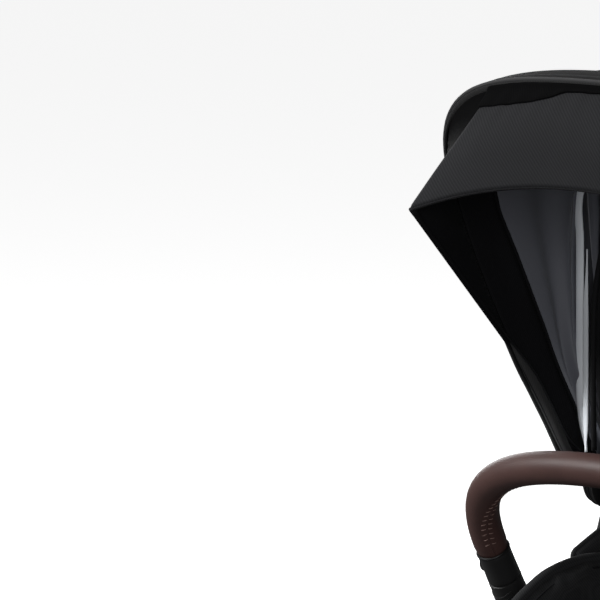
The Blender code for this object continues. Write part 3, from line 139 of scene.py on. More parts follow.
def make_backdrop():
    """A pale floor under a plain white dome, which the camera sees and the product doesn't reflect."""
    reach, steps, sides = 40.0, 8, 24
    corners = [(-reach, -reach, 0), (reach, -reach, 0), (reach, reach, 0), (-reach, reach, 0)]
    floor = backdrop("floor", corners, [(0, 1, 2, 3)], 0.8)
    floor.location.z = cad_low.z - 0.0005
    verts = []
    for i in range(steps + 1):
        rise = pi / 2 * i / steps * 0.98
        flat = reach * 0.95 * cos(rise)
        centre = Vector((0, 0, reach * sin(rise) - 0.1))
        verts += ring(centre, Vector((flat, 0, 0)), Vector((0, flat, 0)), sides)
    faces = grid_faces(steps + 1, sides) + [tuple(range(steps * sides, (steps + 1) * sides))]
    dome = backdrop("dome", verts, faces, 1.0)
    dome.visible_shadow = False


def backdrop(name, verts, faces, glow):
    paint, _, shader = new_material(f"{name}_paint", (0.8, 0.8, 0.8), 0.9)
    set_inputs(shader, Specular_IOR_Level=0.0, Emission_Color=WHITE, Emission_Strength=glow)
    item = linked(name, new_mesh(name, verts, faces, paint))
    item.visible_diffuse = False
    item.visible_glossy = False
    return item


# Materials.


def set_inputs(node, **values):
    """Sets inputs of a node, each named with underscores for spaces."""
    for name, value in values.items():
        node.inputs[name.replace("_", " ")].default_value = value


def new_node(tree, kind, vector=None, **values):
    node = tree.nodes.new(f"ShaderNode{kind}")
    set_inputs(node, **values)
    if vector is not None:
        tree.links.new(vector, node.inputs["Vector"])
    return node


def new_material(name, colour, roughness, metallic=0.0):
    material = bpy.data.materials.new(name)
    material.use_nodes = True
    tree = material.node_tree
    shader = tree.nodes["Principled BSDF"]
    set_inputs(shader, Base_Color=(*colour, 1.0), Roughness=roughness, Metallic=metallic)
    return material, tree, shader


def math_node(tree, operation, *values):
    node = new_node(tree, "Math")
    node.operation = operation
    for entry, value in zip(node.inputs, values):
        if isinstance(value, float):
            entry.default_value = value
        else:
            tree.links.new(value, entry)
    return node.outputs[0]


def mixed(tree, *weighted):
    """The sum of values, each with its weight."""
    parts = [math_node(tree, "MULTIPLY", value, weight) for value, weight in weighted]
    total = parts[0]
    for part in parts[1:]:
        total = math_node(tree, "ADD", total, part)
    return total


def coordinates(tree, kind):
    return new_node(tree, "TexCoord").outputs[kind]


def noise_node(tree, vector, scale, detail=3.0):
    return new_node(tree, "TexNoise", vector, Scale=scale, Detail=detail).outputs["Fac"]


def bands(tree, vector, pitch, direction, distortion=0.0):
    """Stripes with a pitch in metres."""
    scale = 2 * pi / (20 * pitch)
    node = new_node(tree, "TexWave", vector, Scale=scale, Distortion=distortion, Detail=0.0)
    node.bands_direction = direction
    return node.outputs["Fac"]


def spread(tree, shader, factor, colour, contrast):
    """Colours the shader between a darker and a lighter shade of one colour."""
    node = new_node(tree, "Mix")
    node.data_type = "RGBA"
    dark, light = [[c * share for c in colour] for share in (1 - contrast, 1 + contrast)]
    set_inputs(node, A=(*dark, 1.0), B=(*light, 1.0))
    tree.links.new(factor, node.inputs["Factor"])
    tree.links.new(node.outputs["Result"], shader.inputs["Base Color"])


def roughen(tree, shader, slow, least, change):
    """Lets the roughness wander with a slow noise."""
    rough = math_node(tree, "ADD", math_node(tree, "MULTIPLY", slow, change), least)
    tree.links.new(rough, shader.inputs["Roughness"])


def add_bump(tree, shader, height, strength, distance):
    node = new_node(tree, "Bump", Strength=strength, Distance=distance)
    tree.links.new(height, node.inputs["Height"])
    tree.links.new(node.outputs["Normal"], shader.inputs["Normal"])


def cloth_material(name, colour, roughness, pitch, sheen, contrast, mapped="UV"):
    """Woven cloth: diagonal ribs over finer cross threads, with a slow change of shade."""
    material, tree, shader = new_material(name, colour, roughness)
    vector = coordinates(tree, mapped)
    ribs = bands(tree, vector, pitch, "DIAGONAL", 0.8)
    threads = bands(tree, vector, pitch * 0.6, "X")
    weave = mixed(tree, (ribs, 0.6), (threads, 0.4))
    slow = noise_node(tree, coordinates(tree, "Object"), 14.0)
    spread(tree, shader, mixed(tree, (weave, 0.7), (slow, 0.3)), colour, contrast)
    set_inputs(shader, Specular_IOR_Level=0.04, Sheen_Weight=sheen, Sheen_Roughness=0.4)
    add_bump(tree, shader, weave, 0.35, 0.0004)
    return material


def satin_material(name, colour, roughness):
    material, tree, shader = new_material(name, colour, roughness)
    threads = bands(tree, coordinates(tree, "UV"), 0.0011, "Y")
    slow = noise_node(tree, coordinates(tree, "Object"), 9.0)
    spread(tree, shader, mixed(tree, (threads, 0.35), (slow, 0.65)), colour, 0.18)
    set_inputs(shader, Specular_IOR_Level=0.45, Sheen_Weight=0.15, Sheen_Roughness=0.35)
    add_bump(tree, shader, threads, 0.12, 0.0002)
    return material


def webbing_material(name, colour):
    material, tree, shader = new_material(name, colour, 0.6)
    vector = coordinates(tree, "Object")
    ribs = bands(tree, vector, 0.0022, "Z", 0.3)
    cross = bands(tree, vector, 0.0012, "X")
    weave = mixed(tree, (ribs, 0.7), (cross, 0.3))
    spread(tree, shader, weave, colour, 0.5)
    set_inputs(shader, Sheen_Weight=0.15)
    add_bump(tree, shader, weave, 0.5, 0.0005)
    return material


def leather_material():
    """Leather with fine pores in a net of grain, and a slow change of shade."""
    colour = (0.066, 0.0335, 0.0295)
    material, tree, shader = new_material("leather", colour, 0.5)
    vector = coordinates(tree, "Object")
    cells = new_node(tree, "TexVoronoi", vector)
    cells.feature = "DISTANCE_TO_EDGE"
    set_inputs(cells, Scale=700.0)
    pores = noise_node(tree, vector, 1600.0)
    grain = mixed(tree, (cells.outputs["Distance"], 1.6), (pores, 0.25))
    slow = noise_node(tree, vector, 38.0, 4.0)
    spread(tree, shader, mixed(tree, (grain, 0.25), (slow, 0.75)), colour, 0.3)
    roughen(tree, shader, slow, 0.42, 0.16)
    set_inputs(shader, Specular_IOR_Level=0.3)
    add_bump(tree, shader, grain, 0.22, 0.0004)
    return material


def grained_material(name, colour, roughness, metallic, grain_scale, grain, contrast, shine=0.4):
    """Moulded, painted or rubber surfaces: a fine grain, and roughness that wanders a little."""
    material, tree, shader = new_material(name, colour, roughness, metallic)
    vector = coordinates(tree, "Object")
    fine = noise_node(tree, vector, grain_scale, 2.0)
    slow = noise_node(tree, vector, 25.0, 3.0)
    spread(tree, shader, slow, colour, contrast)
    roughen(tree, shader, slow, roughness - 0.07, 0.14)
    set_inputs(shader, Specular_IOR_Level=shine)
    add_bump(tree, shader, fine, grain, 0.0002)
    return material


MATERIALS = {}


def make_materials():
    black = (0.017, 0.017, 0.0175)
    thread_grain = (0.6, 0.0, 900.0, 0.2, 0.2)
    MATERIALS.update(
        twill=cloth_material("twill", (0.0165, 0.0167, 0.018), 0.8, 0.0018, 0.03, 0.5),
        canopy=cloth_material("canopy_cloth", (0.008, 0.008, 0.0083), 0.88, 0.0015, 0.01, 0.35),
        # The piping cloth is a lighter copy of the canopy cloth, a painted highlight for the top-lit front
        # rim; on the rim's piping the edging cloth is a painted highlight too.
        piping=cloth_material("piping_cloth", (0.024, 0.024, 0.0245), 0.75, 0.0015, 0.05, 0.25),
        edging=cloth_material("edging_cloth", (0.042, 0.042, 0.043), 0.7, 0.0015, 0.05, 0.25),
        # Near-black cloth with no sheen: painted shade under the canopy's piped edge and beside the visor.
        recess=cloth_material("recess_cloth", (0.0016, 0.0016, 0.0018), 0.9, 0.0014, 0.0, 0.35),
        inner=cloth_material("inner_cloth", (0.0108, 0.0108, 0.012), 0.85, 0.0014, 0.01, 0.4),
        seat=cloth_material("seat_cloth", (0.028, 0.0283, 0.0295), 0.8, 0.0016, 0.04, 0.4, "Object"),
        wing=cloth_material("wing_cloth", (0.012, 0.012, 0.013), 0.8, 0.0016, 0.02, 0.4, "Object"),
        mesh=cloth_material("basket_cloth", (0.011, 0.011, 0.0115), 0.8, 0.0026, 0.05, 0.6),
        webbing=webbing_material("webbing", (0.011, 0.011, 0.0115)),
        satin=satin_material("satin", (0.134, 0.139, 0.162), 0.48),
        # Near-white copy of the grey lining satin: a painted highlight for the lining's folds at the middle
        # bow.
        pale=satin_material("painted_highlight_satin", (0.88, 0.92, 0.97), 0.42),
        leather=leather_material(),
        thread=grained_material("thread", (0.23, 0.15, 0.13), *thread_grain),
        black_thread=grained_material("black_thread", (0.01, 0.01, 0.011), *thread_grain, 0.2),
        plastic=grained_material("moulded_plastic", black, 0.48, 0.0, 1500.0, 0.12, 0.2, 0.25),
        rim=grained_material("rim_plastic", (0.01, 0.01, 0.0105), 0.42, 0.0, 1500.0, 0.1, 0.2, 0.3),
        metal=grained_material("powder_coat", (0.0085, 0.0085, 0.009), 0.38, 0.25, 900.0, 0.1, 0.2, 0.3),
        rubber=grained_material("rubber", (0.012, 0.012, 0.012), 0.8, 0.0, 1100.0, 0.25, 0.35, 0.2),
    )


# Mesh helpers.


def linked(name, mesh):
    item = bpy.data.objects.new(name, mesh)
    bpy.context.scene.collection.objects.link(item)
    return item


def new_mesh(name, verts, faces, material):
    mesh = bpy.data.meshes.new(name)
    mesh.from_pydata([tuple(v) for v in verts], [], faces)
    mesh.materials.append(material)
    return mesh


def piece(name, verts, faces, material):
    mesh = new_mesh(name, verts, faces, material)
    mesh.shade_smooth()
    return linked(name, mesh)


def assign(item, follow, node=None):
    """Hides the node a piece replaces, and ties the piece to the body or the blend that it follows."""
    if node:
        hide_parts(node)
    if callable(follow):
        follow(item)
    else:
        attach(item, follow)
    return item


def apply_modifiers(item):
    depsgraph = bpy.context.evaluated_depsgraph_get()
    mesh = bpy.data.meshes.new_from_object(item.evaluated_get(depsgraph))
    item.modifiers.clear()
    old = item.data
    item.data = mesh
    bpy.data.meshes.remove(old)
    mesh.name = item.name


def modify(item, kind, **settings):
    """Adds a modifier with its settings."""
    modifier = item.modifiers.new(kind.lower(), kind)
    for name, value in settings.items():
        setattr(modifier, name, value)


def thicken(item, thickness, offset, levels=1):
    """Smooths a cloth surface and gives it a thickness."""
    if levels:
        modify(item, "SUBSURF", levels=levels, render_levels=levels)
    modify(item, "SOLIDIFY", thickness=thickness, offset=offset)
    apply_modifiers(item)


def map_cloth(mesh, places):
    """Gives a mesh its cloth UVs, with one place for each vertex."""
    layer = mesh.uv_layers.new(name="cloth")
    for loop in mesh.loops:
        layer.data[loop.index].uv = places[loop.vertex_index]


def grid_faces(height, width, closed=True, looped=False):
    """Faces between rows of points, which may close each row and loop the last row to the first."""
    faces = []
    for i in range(height if looped else height - 1):
        row, following = i * width, (i + 1) % height * width
        for k in range(width if closed else width - 1):
            after = (k + 1) % width
            faces.append((row + k, row + after, following + after, following + k))
    return faces


def sheet_grid(name, rows, material, thickness=0.0, levels=1, closed=False):
    """A cloth surface through rows of points, with UVs in metres along the cloth."""
    faces = grid_faces(len(rows), len(rows[0]), closed)
    item = piece(name, [p for row in rows for p in row], faces, MATERIALS[material])
    map_cloth(item.data, measure(rows))
    if thickness:
        thicken(item, abs(thickness), copysign(1.0, thickness), levels)
    return item


def measure(rows):
    """Distances along and across the cloth at each point, from the middle of the first row."""
    middle = len(rows[0]) // 2
    places, travelled = [], 0.0
    for i, row in enumerate(rows):
        if i:
            travelled += (row[middle] - rows[i - 1][middle]).length
        line = distances(row)
        places += [(u - line[-1] / 2, travelled) for u in line]
    return places


def distances(path):
    """How far along a path each of its points lies."""
    line = [0.0]
    for a, b in zip(path, path[1:]):
        line.append(line[-1] + (b - a).length)
    return line


def ring(centre, across, over, count):
    """Points round an ellipse, from its two half axes."""
    turns = [2 * pi * k / count for k in range(count)]
    return [centre + across * cos(turn) + over * sin(turn) for turn in turns]


def skin(name, rings, material, looped=False):
    """A skin through rings of points, capped at both ends or looped round."""
    width = len(rings[0])
    faces = grid_faces(len(rings), width, looped=looped)
    if not looped:
        end = (len(rings) - 1) * width
        faces += [tuple(reversed(range(width))), tuple(range(end, end + width))]
    return piece(name, [p for points in rings for p in points], faces, MATERIALS[material])


def tangent_at(path, i):
    return (path[min(i + 1, len(path) - 1)] - path[max(i - 1, 0)]).normalized()


def tube(name, path, radius, material, sides=8, flat=1.0, normal=None):
    """A round or flattened cord along a path of points."""
    radii = radius if isinstance(radius, list) else [radius] * len(path)
    side = (path[1] - path[0]).orthogonal()
    rings = []
    for i, p in enumerate(path):
        tangent = tangent_at(path, i)
        across = side if normal is None else normal
        side = (across - across.dot(tangent) * tangent).normalized()
        rings.append(ring(p, side * radii[i] * flat, tangent.cross(side) * radii[i], sides))
    item = skin(name, rings, material)
    map_cloth(item.data, [(far, k * 0.003) for far in distances(path) for k in range(sides)])
    return item


def lathe(name, profile, centre, axis, material, segments=72):
    """Turns a closed outline of (along, radius) points round an axis along X or Z."""
    ahead = Vector((0, 1, 0))
    rings = []
    for out in ring(Vector(), ahead, axis.cross(ahead), segments):
        rings.append([centre + axis * along_axis + out * radius for along_axis, radius in profile])
    item = skin(name, rings, material, looped=True)
    sharpen(item)
    return outward(item)


def sharpen(item):
    item.data.set_sharp_from_angle(angle=radians(40))


def outward(item):
    """Turns the faces outwards."""
    volume = 0.0
    for polygon in item.data.polygons:
        corners = [item.data.vertices[v].co for v in polygon.vertices]
        for b, c in zip(corners[1:], corners[2:]):
            volume += corners[0].dot(b.cross(c))
    if volume < 0:
        item.data.flip_normals()
    return item


def join(name, items):
    """Joins pieces of one material into one object."""
    verts, faces = [], []
    material = items[0].data.materials[0]
    for item in items:
        start = len(verts)
        verts += [v.co.copy() for v in item.data.vertices]
        faces += [tuple(start + i for i in polygon.vertices) for polygon in item.data.polygons]
        bpy.data.objects.remove(item)
    return piece(name, verts, faces, material)


def sew(name, lines, radius, body):
    """Seams along lines of points, as one piece."""
    seams = [tube("seam", line, radius, "black_thread", 6) for line in lines if len(line) > 2]
    return assign(join(name, seams), body)


def stitch_pair(p, tangent, side, over, lift, angles, rise, radius, tuck=0.0):
    """Two stitches that run from a seam round a bar, one to each side."""
    pair = []
    last = len(angles) - 1
    for turn in (-1, 1):
        points = []
        for step, angle in enumerate(angles):
            out = side * cos(angle) + over * (turn * sin(angle))
            points.append(p + out * (lift - tuck * (step in (0, last))) + tangent * (rise * step / last))
        pair.append(tube("stitch", points, radius, "thread", 5))
    return pair


def along(path, distance):
    """The point at a length along a path."""
    for a, b in zip(path, path[1:]):
        step = (b - a).length
        if distance <= step:
            return a.lerp(b, distance / step if step else 0.0)
        distance -= step
    return path[-1].copy()


def resampled(path, count):
    total = sum((b - a).length for a, b in zip(path, path[1:]))
    return [along(path, total * i / (count - 1)) for i in range(count)]


def curve_through(points, count):
    """A smooth curve through a few points."""
    ends = [points[0] * 2 - points[1]] + list(points) + [points[-1] * 2 - points[-2]]
    fine = []
    for a, b, c, d in zip(ends, ends[1:], ends[2:], ends[3:]):
        for i in range(12):
            t = i / 12
            part = b * 2 + (c - a) * t + (a * 2 - b * 5 + c * 4 - d) * t * t
            part += (b * 3 - a - c * 3 + d) * t * t * t
            fine.append(part * 0.5)
    fine.append(Vector(points[-1]))
    return resampled(fine, count)


def bezier(p0, p1, p2, p3, steps):
    points = []
    for i in range(steps + 1):
        t = i / steps
        a, b, c, d = (1 - t) ** 3, 3 * t * (1 - t) ** 2, 3 * t * t * (1 - t), t**3
        points.append(a * p0 + b * p1 + c * p2 + d * p3)
    return points


def smoothstep(x):
    x = min(1.0, max(0.0, x))
    return x * x * (3 - 2 * x)


def interpolate(table, x):
    """Straight-line lookup in a table of (x, y) pairs."""
    if x <= table[0][0]:
        return table[0][1]
    for (x0, y0), (x1, y1) in zip(table, table[1:]):
        if x <= x1:
            return y0 + (y1 - y0) * (x - x0) / (x1 - x0)
    return table[-1][1]


# Canopy.


CANOPY_FOOT_HALF = 0.196
CANOPY_HALF = 0.246
CANOPY_WAIST = 0.14
FRONT_CROWN = 0.476
MID_CROWN = 0.4123
BACK_CROWN = 0.3815
BOW_POINTS = 61
EDGE_POINTS = 161

# Thickness of the outer cloth and of the lining, and how far the bow's pocket stands inwards.
CANOPY_CLOTH = 0.0012
LINING_CLOTH = 0.0006
POCKET = 0.015


def arch(inset, crown, foot, count):
    """Points (x, height) of a canopy bow at even spacing, from the left foot over to the right."""
    foot_half, half = CANOPY_FOOT_HALF - inset, CANOPY_HALF - inset
    side = bezier(
        Vector((foot_half, 0)),
        Vector((foot_half + (half - foot_half) * 0.55, CANOPY_WAIST * 0.4)),
        Vector((half, CANOPY_WAIST * 0.62)),
        Vector((half, CANOPY_WAIST)),
        16,
    )
    top = bezier(
        Vector((half, CANOPY_WAIST)),
        Vector((half, CANOPY_WAIST + 0.931 * (crown - CANOPY_WAIST))),
        Vector((half * 0.744, crown)),
        Vector((0, crown)),
        32,
    )
    line = side + top[1:]
    line += [Vector((-p.x, p.y)) for p in reversed(line[:-1])]
    kept = [p for p in line if p.y >= foot]
    return resampled(kept, count)


def lean_point(x, height, lean):
    angle = radians(lean)
    return Vector((x, HINGE.y - height * sin(angle), HINGE.z + height * cos(angle)))


def bow(inset, crown, lean, foot, count):
    return [lean_point(p.x, p.y, lean) for p in arch(inset, crown, foot, count)]


# How far ahead of the front bow the cloth's edge lies, by height up the bow.
AHEAD = (
    (0.0, 0.025), (0.0122, 0.0305), (0.0237, 0.0305), (0.0345, 0.0262), (0.0449, 0.021), (0.0549, 0.016),
    (0.0646, 0.0115), (0.0743, 0.008), (0.0839, 0.005), (0.0936, 0.0025), (0.1036, 0.0005), (0.125, -0.001),
    (0.15, -0.0015), (0.37, -0.0015), (0.4, -0.0005), (0.43, 0.0), (0.455, 0.0),
)


def front_edge(inset, foot, count):
    """The canopy's front edge. Near the hinge the cloth lies ahead of the bow, round the hub."""
    points = []
    for p in arch(inset, FRONT_CROWN - inset, foot, count):
        point = lean_point(p.x, p.y, FRONT_LEAN)
        point.y -= interpolate(AHEAD, p.y)
        points.append(point)
    return points


def mid_line(inset, count=BOW_POINTS, foot=0.012):
    return bow(0.003 + inset, MID_CROWN - inset, MID_LEAN - 0.4, foot, count)


def rear_line(inset):
    return bow(0.013 + inset, BACK_CROWN - inset, REAR_LEAN, 0.03, BOW_POINTS)


def inward(p):
    """The direction from a canopy point to the middle of the space under the canopy."""
    return (Vector((0.0, HINGE.y - 0.05, HINGE.z + 0.14)) - p).normalized()


def ruled(first, last, steps, depth):
    """Rows of points from one bow to the next, each sunk by a depth that a rule gives."""
    rows = []
    for i in range(steps + 1):
        t = i / steps
        row = []
        for k, (a, b) in enumerate(zip(first, last)):
            p = a.lerp(b, t)
            row.append(p + inward(p) * depth(t, k / (len(first) - 1), p))
        rows.append(row)
    return rows


def blend(item):
    """Bakes the piece's placement into its mesh; it follows no body."""
    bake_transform(item)


def blend_front(item):
    blend(item)


def blend_rear(item):
    blend(item)


def blend_visor(item):
    blend(item)


def front_form(t, s, p):
    """Depth of the front cloth: full behind the piped edge, slack before the middle bow."""
    full, end, slack = 0.0042, 0.3, 0.0045
    over = smoothstep((p.z - HINGE.z - 0.02) / 0.2)
    depth = 0.0
    if t < end:
        depth -= full * sin(pi * t / end)
    if t > 0.8 * end:
        depth += slack * sin(pi * (t - 0.8 * end) / (1 - 0.8 * end))
    return depth * over + folds(t, s, p)


def rear_form(t, s, p):
    return 0.003 * sin(pi * t) + folds(t, s, p)


def folds(t, s, p):
    """Soft folds that run out from the hinge, where the cloth is gathered."""
    low = 1 - smoothstep(((p - HINGE).length - 0.05) / 0.22)
    inside = sin(pi * t)
    return inside * (0.0022 * low * sin(t * 21.0 + s * 3.0) + 0.001 * noise.noise(p * 22.0))


def make_canopy():
    first, last = front_edge(0, 0.012, BOW_POINTS), mid_line(0)
    outer = sheet_grid("canopy_front_cloth", ruled(first, last, 20, front_form), "canopy", -CANOPY_CLOTH)
    assign(outer, blend_front, "canopy_front_panel")
    rows = ruled(mid_line(0), rear_line(0), 12, rear_form)
    rear = sheet_grid("canopy_rear_cloth", rows, "canopy", -CANOPY_CLOTH)
    assign(rear, blend_rear, "canopy_rear_panel")
    rim = make_rim(first, last)
    skirt = make_rear_skirt()
    make_lining()
    make_bows()
    make_canopy_hubs()
    make_bow_folds()
    make_border()


def make_rim(first, last):
    """The piped front edge with its hem below and its seam behind, and the seam over the middle bow."""
    # The piping takes the lighter edging cloth and the hem the lighter piping cloth: a painted highlight of
    # the light along the top of the front edge.
    rim = tube("canopy_rim_piping", front_edge(-0.0003, 0.004, EDGE_POINTS), 0.0019, "edging", 10)
    assign(rim, "canopy_front")
    hem = [[], [], [], []]
    for p, q in zip(front_edge(0.001, 0.004, EDGE_POINTS), front_edge(0.011, 0.004, EDGE_POINTS)):
        share = smoothstep((p.z - HINGE.z - 0.335) / 0.06)
        for i, part in enumerate((0.0, 0.22, 0.44, 0.6)):
            ahead = 0.0012 + 0.0008 * (i in (1, 2))
            hem[i].append(p.lerp(q, part * share + 0.02 * i) - Vector((0, ahead, 0)))
    border = assign(sheet_grid("canopy_rim_hem", hem, "piping", 0.0008), "canopy_front")
    lines = []
    for share in (0.052, 0.064):
        line = []
        for k, (a, b) in enumerate(zip(first, last)):
            p = a.lerp(b, share)
            line.append(p + inward(p) * (front_form(share, k / (BOW_POINTS - 1), p) - 0.0008))
        lines.append(resampled(line[1:-1], EDGE_POINTS))
    seam = sew("canopy_rim_seam", lines, 0.0006, "canopy_front")
    band = []
    for offset, lift in ((-0.006, -0.0002), (-0.0035, -0.0012), (0.0035, -0.0012), (0.006, -0.0002)):
        band.append([p + Vector((0, offset, 0)) for p in mid_line(lift, 121, 0.02)])
    assign(sheet_grid("canopy_mid_seam", band, "canopy", -0.0006, 0), "canopy_mid")
    return [rim, border, seam]


def make_bow(body, strip, radius, near):
    """A flat bow with an eye on the hinge at each end, in place of the plain one."""
    far, hole, edge = near + 0.0025, 0.008, 0.0255
    eye = ((near, hole), (near, edge), (far, edge), (far, hole))
    parts = [tube("strip", strip, radius, "metal", 12, 0.35, Vector((1, 0, 0)))]
    parts += [lathe("eye", eye, HINGE, Vector((sign, 0, 0)), "metal", 48) for _, sign in SIDES]
    item = join(f"{body}_bow_strip", parts)
    sharpen(item)
    assign(item, body, f"{body}_bow")


def make_bows():
    make_bow("canopy_mid", bow(0.012, MID_CROWN - 0.009, MID_LEAN, 0.018, 121), 0.0042, 0.1905)
    strip = []
    for k, p in enumerate(bow(0.0, FRONT_CROWN, FRONT_LEAN - 0.5, 0.012, BOW_POINTS)):
        strip.append(lining_wall(k, lining_share(k, p.y, 0.02, 0.9), 0.0026))
    make_bow("canopy_front", resampled(strip, 121), 0.003, 0.1938)


def make_canopy_hubs():
    """Round hinge hubs with a stepped cap, on the spindle that the bows turn on."""
    outline = (
        (0.1864, 0.0002), (0.1864, 0.0262), (0.1872, 0.0274), (0.1886, 0.0274), (0.1892, 0.0262),
        (0.1892, 0.0078), (0.1988, 0.0078), (0.1988, 0.0215), (0.2, 0.0232), (0.2018, 0.0232),
        (0.203, 0.0218), (0.203, 0.017), (0.2024, 0.0162), (0.2024, 0.0125), (0.2036, 0.0112),
        (0.2038, 0.0002),
    )
    for name, sign in SIDES:
        hub = lathe(f"canopy_hub_cap_{name}", outline, HINGE, Vector((sign, 0, 0)), "plastic", 72)
        assign(hub, "backrest", f"canopy_hub_{name}")


def make_rear_skirt():
    """The cloth from the canopy's rear edge down to the top of the backrest tube."""
    rows = [[], [], [], [], [], []]
    for p in resampled([p for p in rear_line(0.0005) if p.z > HINGE.z + 0.12], 41):
        x = max(-0.164, min(0.164, p.x))
        down = abs(p.x) / CANOPY_HALF
        corner = back_point(x * 1.1, 0.5 - 0.3 * down, -0.013)
        foot = back_point(x, 0.512, -0.012).lerp(corner, smoothstep(down * 1.3))
        for i, row in enumerate(rows):
            t = i / 5
            row.append(p.lerp(foot, t) + Vector((0, 1, 0.1)) * 0.006 * sin(pi * t))
    return assign(sheet_grid("canopy_rear_skirt", rows, "canopy", -CANOPY_CLOTH), "backrest")


# Lean of the line where the black front band meets the grey lining, by height on the side wall.
BAND_LEAN = (
    (0.0, 9.0), (0.077, 9.2), (0.129, 13.3), (0.185, 17.7), (0.242, 20.6), (0.301, 23.3), (0.45, 25.5),
)


def make_lining():
    """The inside: a black band behind the front edge, then grey satin that runs into the bow's pocket."""
    shares = []
    for a in LINING_FRONT:
        wanted = interpolate(BAND_LEAN, hypot(a.z - HINGE.z, a.y - HINGE.y))
        shares.append(min(0.97, max(0.05, (FRONT_LEAN - wanted) / (FRONT_LEAN - MID_LEAN))))
    rows = [[lining_wall(k, shares[k] * i / 5, 0.0045) for k in range(BOW_POINTS)] for i in range(6)]
    band = sheet_grid("canopy_inner_band", rows, "inner", -0.0008)
    assign(band, blend_front)
    edge = resampled([lining_wall(k, share, 0.0066) for k, share in enumerate(shares)], EDGE_POINTS)
    binding = assign(tube("canopy_inner_binding", edge, 0.0016, "inner", 6), blend_front)
    rows = []
    steps = 18
    for i in range(steps + 1):
        t = i / steps
        row = []
        for k, start in enumerate(shares):
            share = start + (1 - start) * t
            p = LINING_FRONT[k].lerp(LINING_BACK[k], share)
            pocket = POCKET * clear_of_hinge(p) * smoothstep((t - 0.5) / 0.48)
            depth = 0.0052 + pocket + satin_fold(t, p) * sin(pi * t) ** 0.7
            row.append(lining_wall(k, share, depth))
        rows.append(row)
    front = assign(sheet_grid("canopy_front_lining", rows, "satin", -LINING_CLOTH), blend_front)

    def rear_depth(t, s, p):
        pocket = POCKET * clear_of_hinge(p) * (1 - smoothstep(t / 0.3))
        fold = 0.004 * (1 + sin(t * 9.0 + sin(s * 6.0))) * sin(pi * t)
        return 0.0055 + max(0.0, rear_form(t, s, p)) + pocket + fold

    rows = ruled(mid_line(0.0005), rear_line(0.001), 14, rear_depth)
    rear = assign(sheet_grid("canopy_rear_lining", rows, "satin", -LINING_CLOTH), blend_rear)
    make_lining_drops()


def make_lining_drops():
    """Slack lining that hangs as a tapering fold behind the middle bow, on both sides."""
    top, knee, front_y, wall_x = 0.34, 0.277, -0.0363, 0.19
    tip_y, tip_z = -0.0232, 0.1756
    for name, sign in SIDES:
        rows = []
        for i in range(15):
            t = i / 14
            z = top + (tip_z - top) * t
            wide = 0.019 * min(1.0, (z - tip_z) / 0.08)
            front = front_y if z > knee else front_y + (tip_y - front_y) * (knee - z) / (knee - tip_z)
            x = wall_x - max(0.0, z - knee) * 0.2
            row = []
            for k in range(7):
                s = k / 6
                bulge = 0.005 * sin(pi * s) * (0.4 + 0.6 * t)
                fine = 0.001 * sin(9.0 * s + 2.0)
                row.append(HINGE + Vector((sign * (x - bulge - fine), front + wide * s, z)))
            rows.append(row)
        item = sheet_grid(f"lining_drop_{name}", rows, "satin", 0.0008)
        assign(item, blend_rear)


def clear_of_hinge(p):
    """From 0 at the hinge, where the cloth is gathered, to 1 where it lies free."""
    return smoothstep((p - HINGE).length / 0.12)


def satin_fold(t, p):
    """Depth of the lining's soft folds, which fan out from the hinge."""
    wide = 0.0022 * (1 + sin(t * 5.5 + 0.6))
    narrow = 0.0006 * (1 + sin(t * 13.0 + (p - HINGE).length * 8.0))
    return clear_of_hinge(p) * (wide + narrow + 0.001 * (1 + noise.noise(p * 14.0)))


def lining_share(k, y, least, most):
    """How far back from the front edge to the middle bow a place lies, within two limits."""
    a, b = LINING_FRONT[k], LINING_BACK[k]
    return max(least, min(most, (y - a.y) / (b.y - a.y)))


def lining_wall(k, share, depth):
    """A point inside the front cloth, a depth in from it, at a share of the way to the middle bow."""
    p = LINING_FRONT[k].lerp(LINING_BACK[k], share)
    return p + inward(p) * (max(0.0, front_form(share, k / (BOW_POINTS - 1), p)) + depth)


LINING_FRONT = front_edge(0.0, 0.012, BOW_POINTS)
LINING_BACK = mid_line(0.0005)


# Places (half width, forward, height) of the two pleats, from the canopy's hinge up its side.
FOLD_FRONT = (
    (0.197, -0.0235, 0.0283), (0.202, -0.0198, 0.0386), (0.208, -0.0158, 0.0517), (0.214, -0.0125, 0.0744),
    (0.2165, -0.0105, 0.0929), (0.2173, -0.0101, 0.1308), (0.2163, -0.012, 0.1785), (0.2141, -0.0153, 0.2262),
    (0.2105, -0.0196, 0.2739),
)
FOLD_REAR = (
    (0.195, -0.0275, 0.0288), (0.197, -0.025, 0.0396), (0.199, -0.0227, 0.0533), (0.202, -0.0196, 0.0763),
    (0.203, -0.0184, 0.095), (0.203, -0.0189, 0.1329), (0.201, -0.0216, 0.1712), (0.199, -0.0232, 0.1999),
    (0.1985, -0.0236, 0.22),
)


def fold_radii(path, radius):
    """The radius along a pleat, which starts thin over the hinge."""
    return [radius * (0.3 + 0.7 * smoothstep((p.z - HINGE.z - 0.028) / 0.03)) for p in path]


def make_bow_folds():
    """The lining's pocket round the middle bow stands inwards as two pleats, painted near white as a painted
    highlight where their folds catch the light.
    """
    side = [HINGE + Vector(p) for p in FOLD_FRONT]
    over = [lean_point(p.x, p.y, 4.0) for p in arch(0.033, MID_CROWN - 0.03, 0.24, 61) if abs(p.x) < 0.18]
    other = [Vector((-p.x, p.y, p.z)) for p in reversed(side)]
    path = curve_through(side + over + other, EDGE_POINTS)
    fold = tube("lining_fold_front", path, fold_radii(path, 0.0048), "pale", 12, 0.38, Vector((0, 1, 0)))
    assign(fold, "canopy_mid")
    for name, sign in SIDES:
        path = curve_through([HINGE + Vector((sign * x, y, z)) for x, y, z in FOLD_REAR], 61)
        radii = []
        for p, radius in zip(path, fold_radii(path, 0.0032)):
            radii.append(radius * (1 - 0.7 * smoothstep((p.z - HINGE.z - 0.155) / 0.06)))
        fold = tube(f"lining_fold_rear_{name}", path, radii, "pale", 12, 0.38, Vector((0, 1, 0)))
        assign(fold, "canopy_mid")


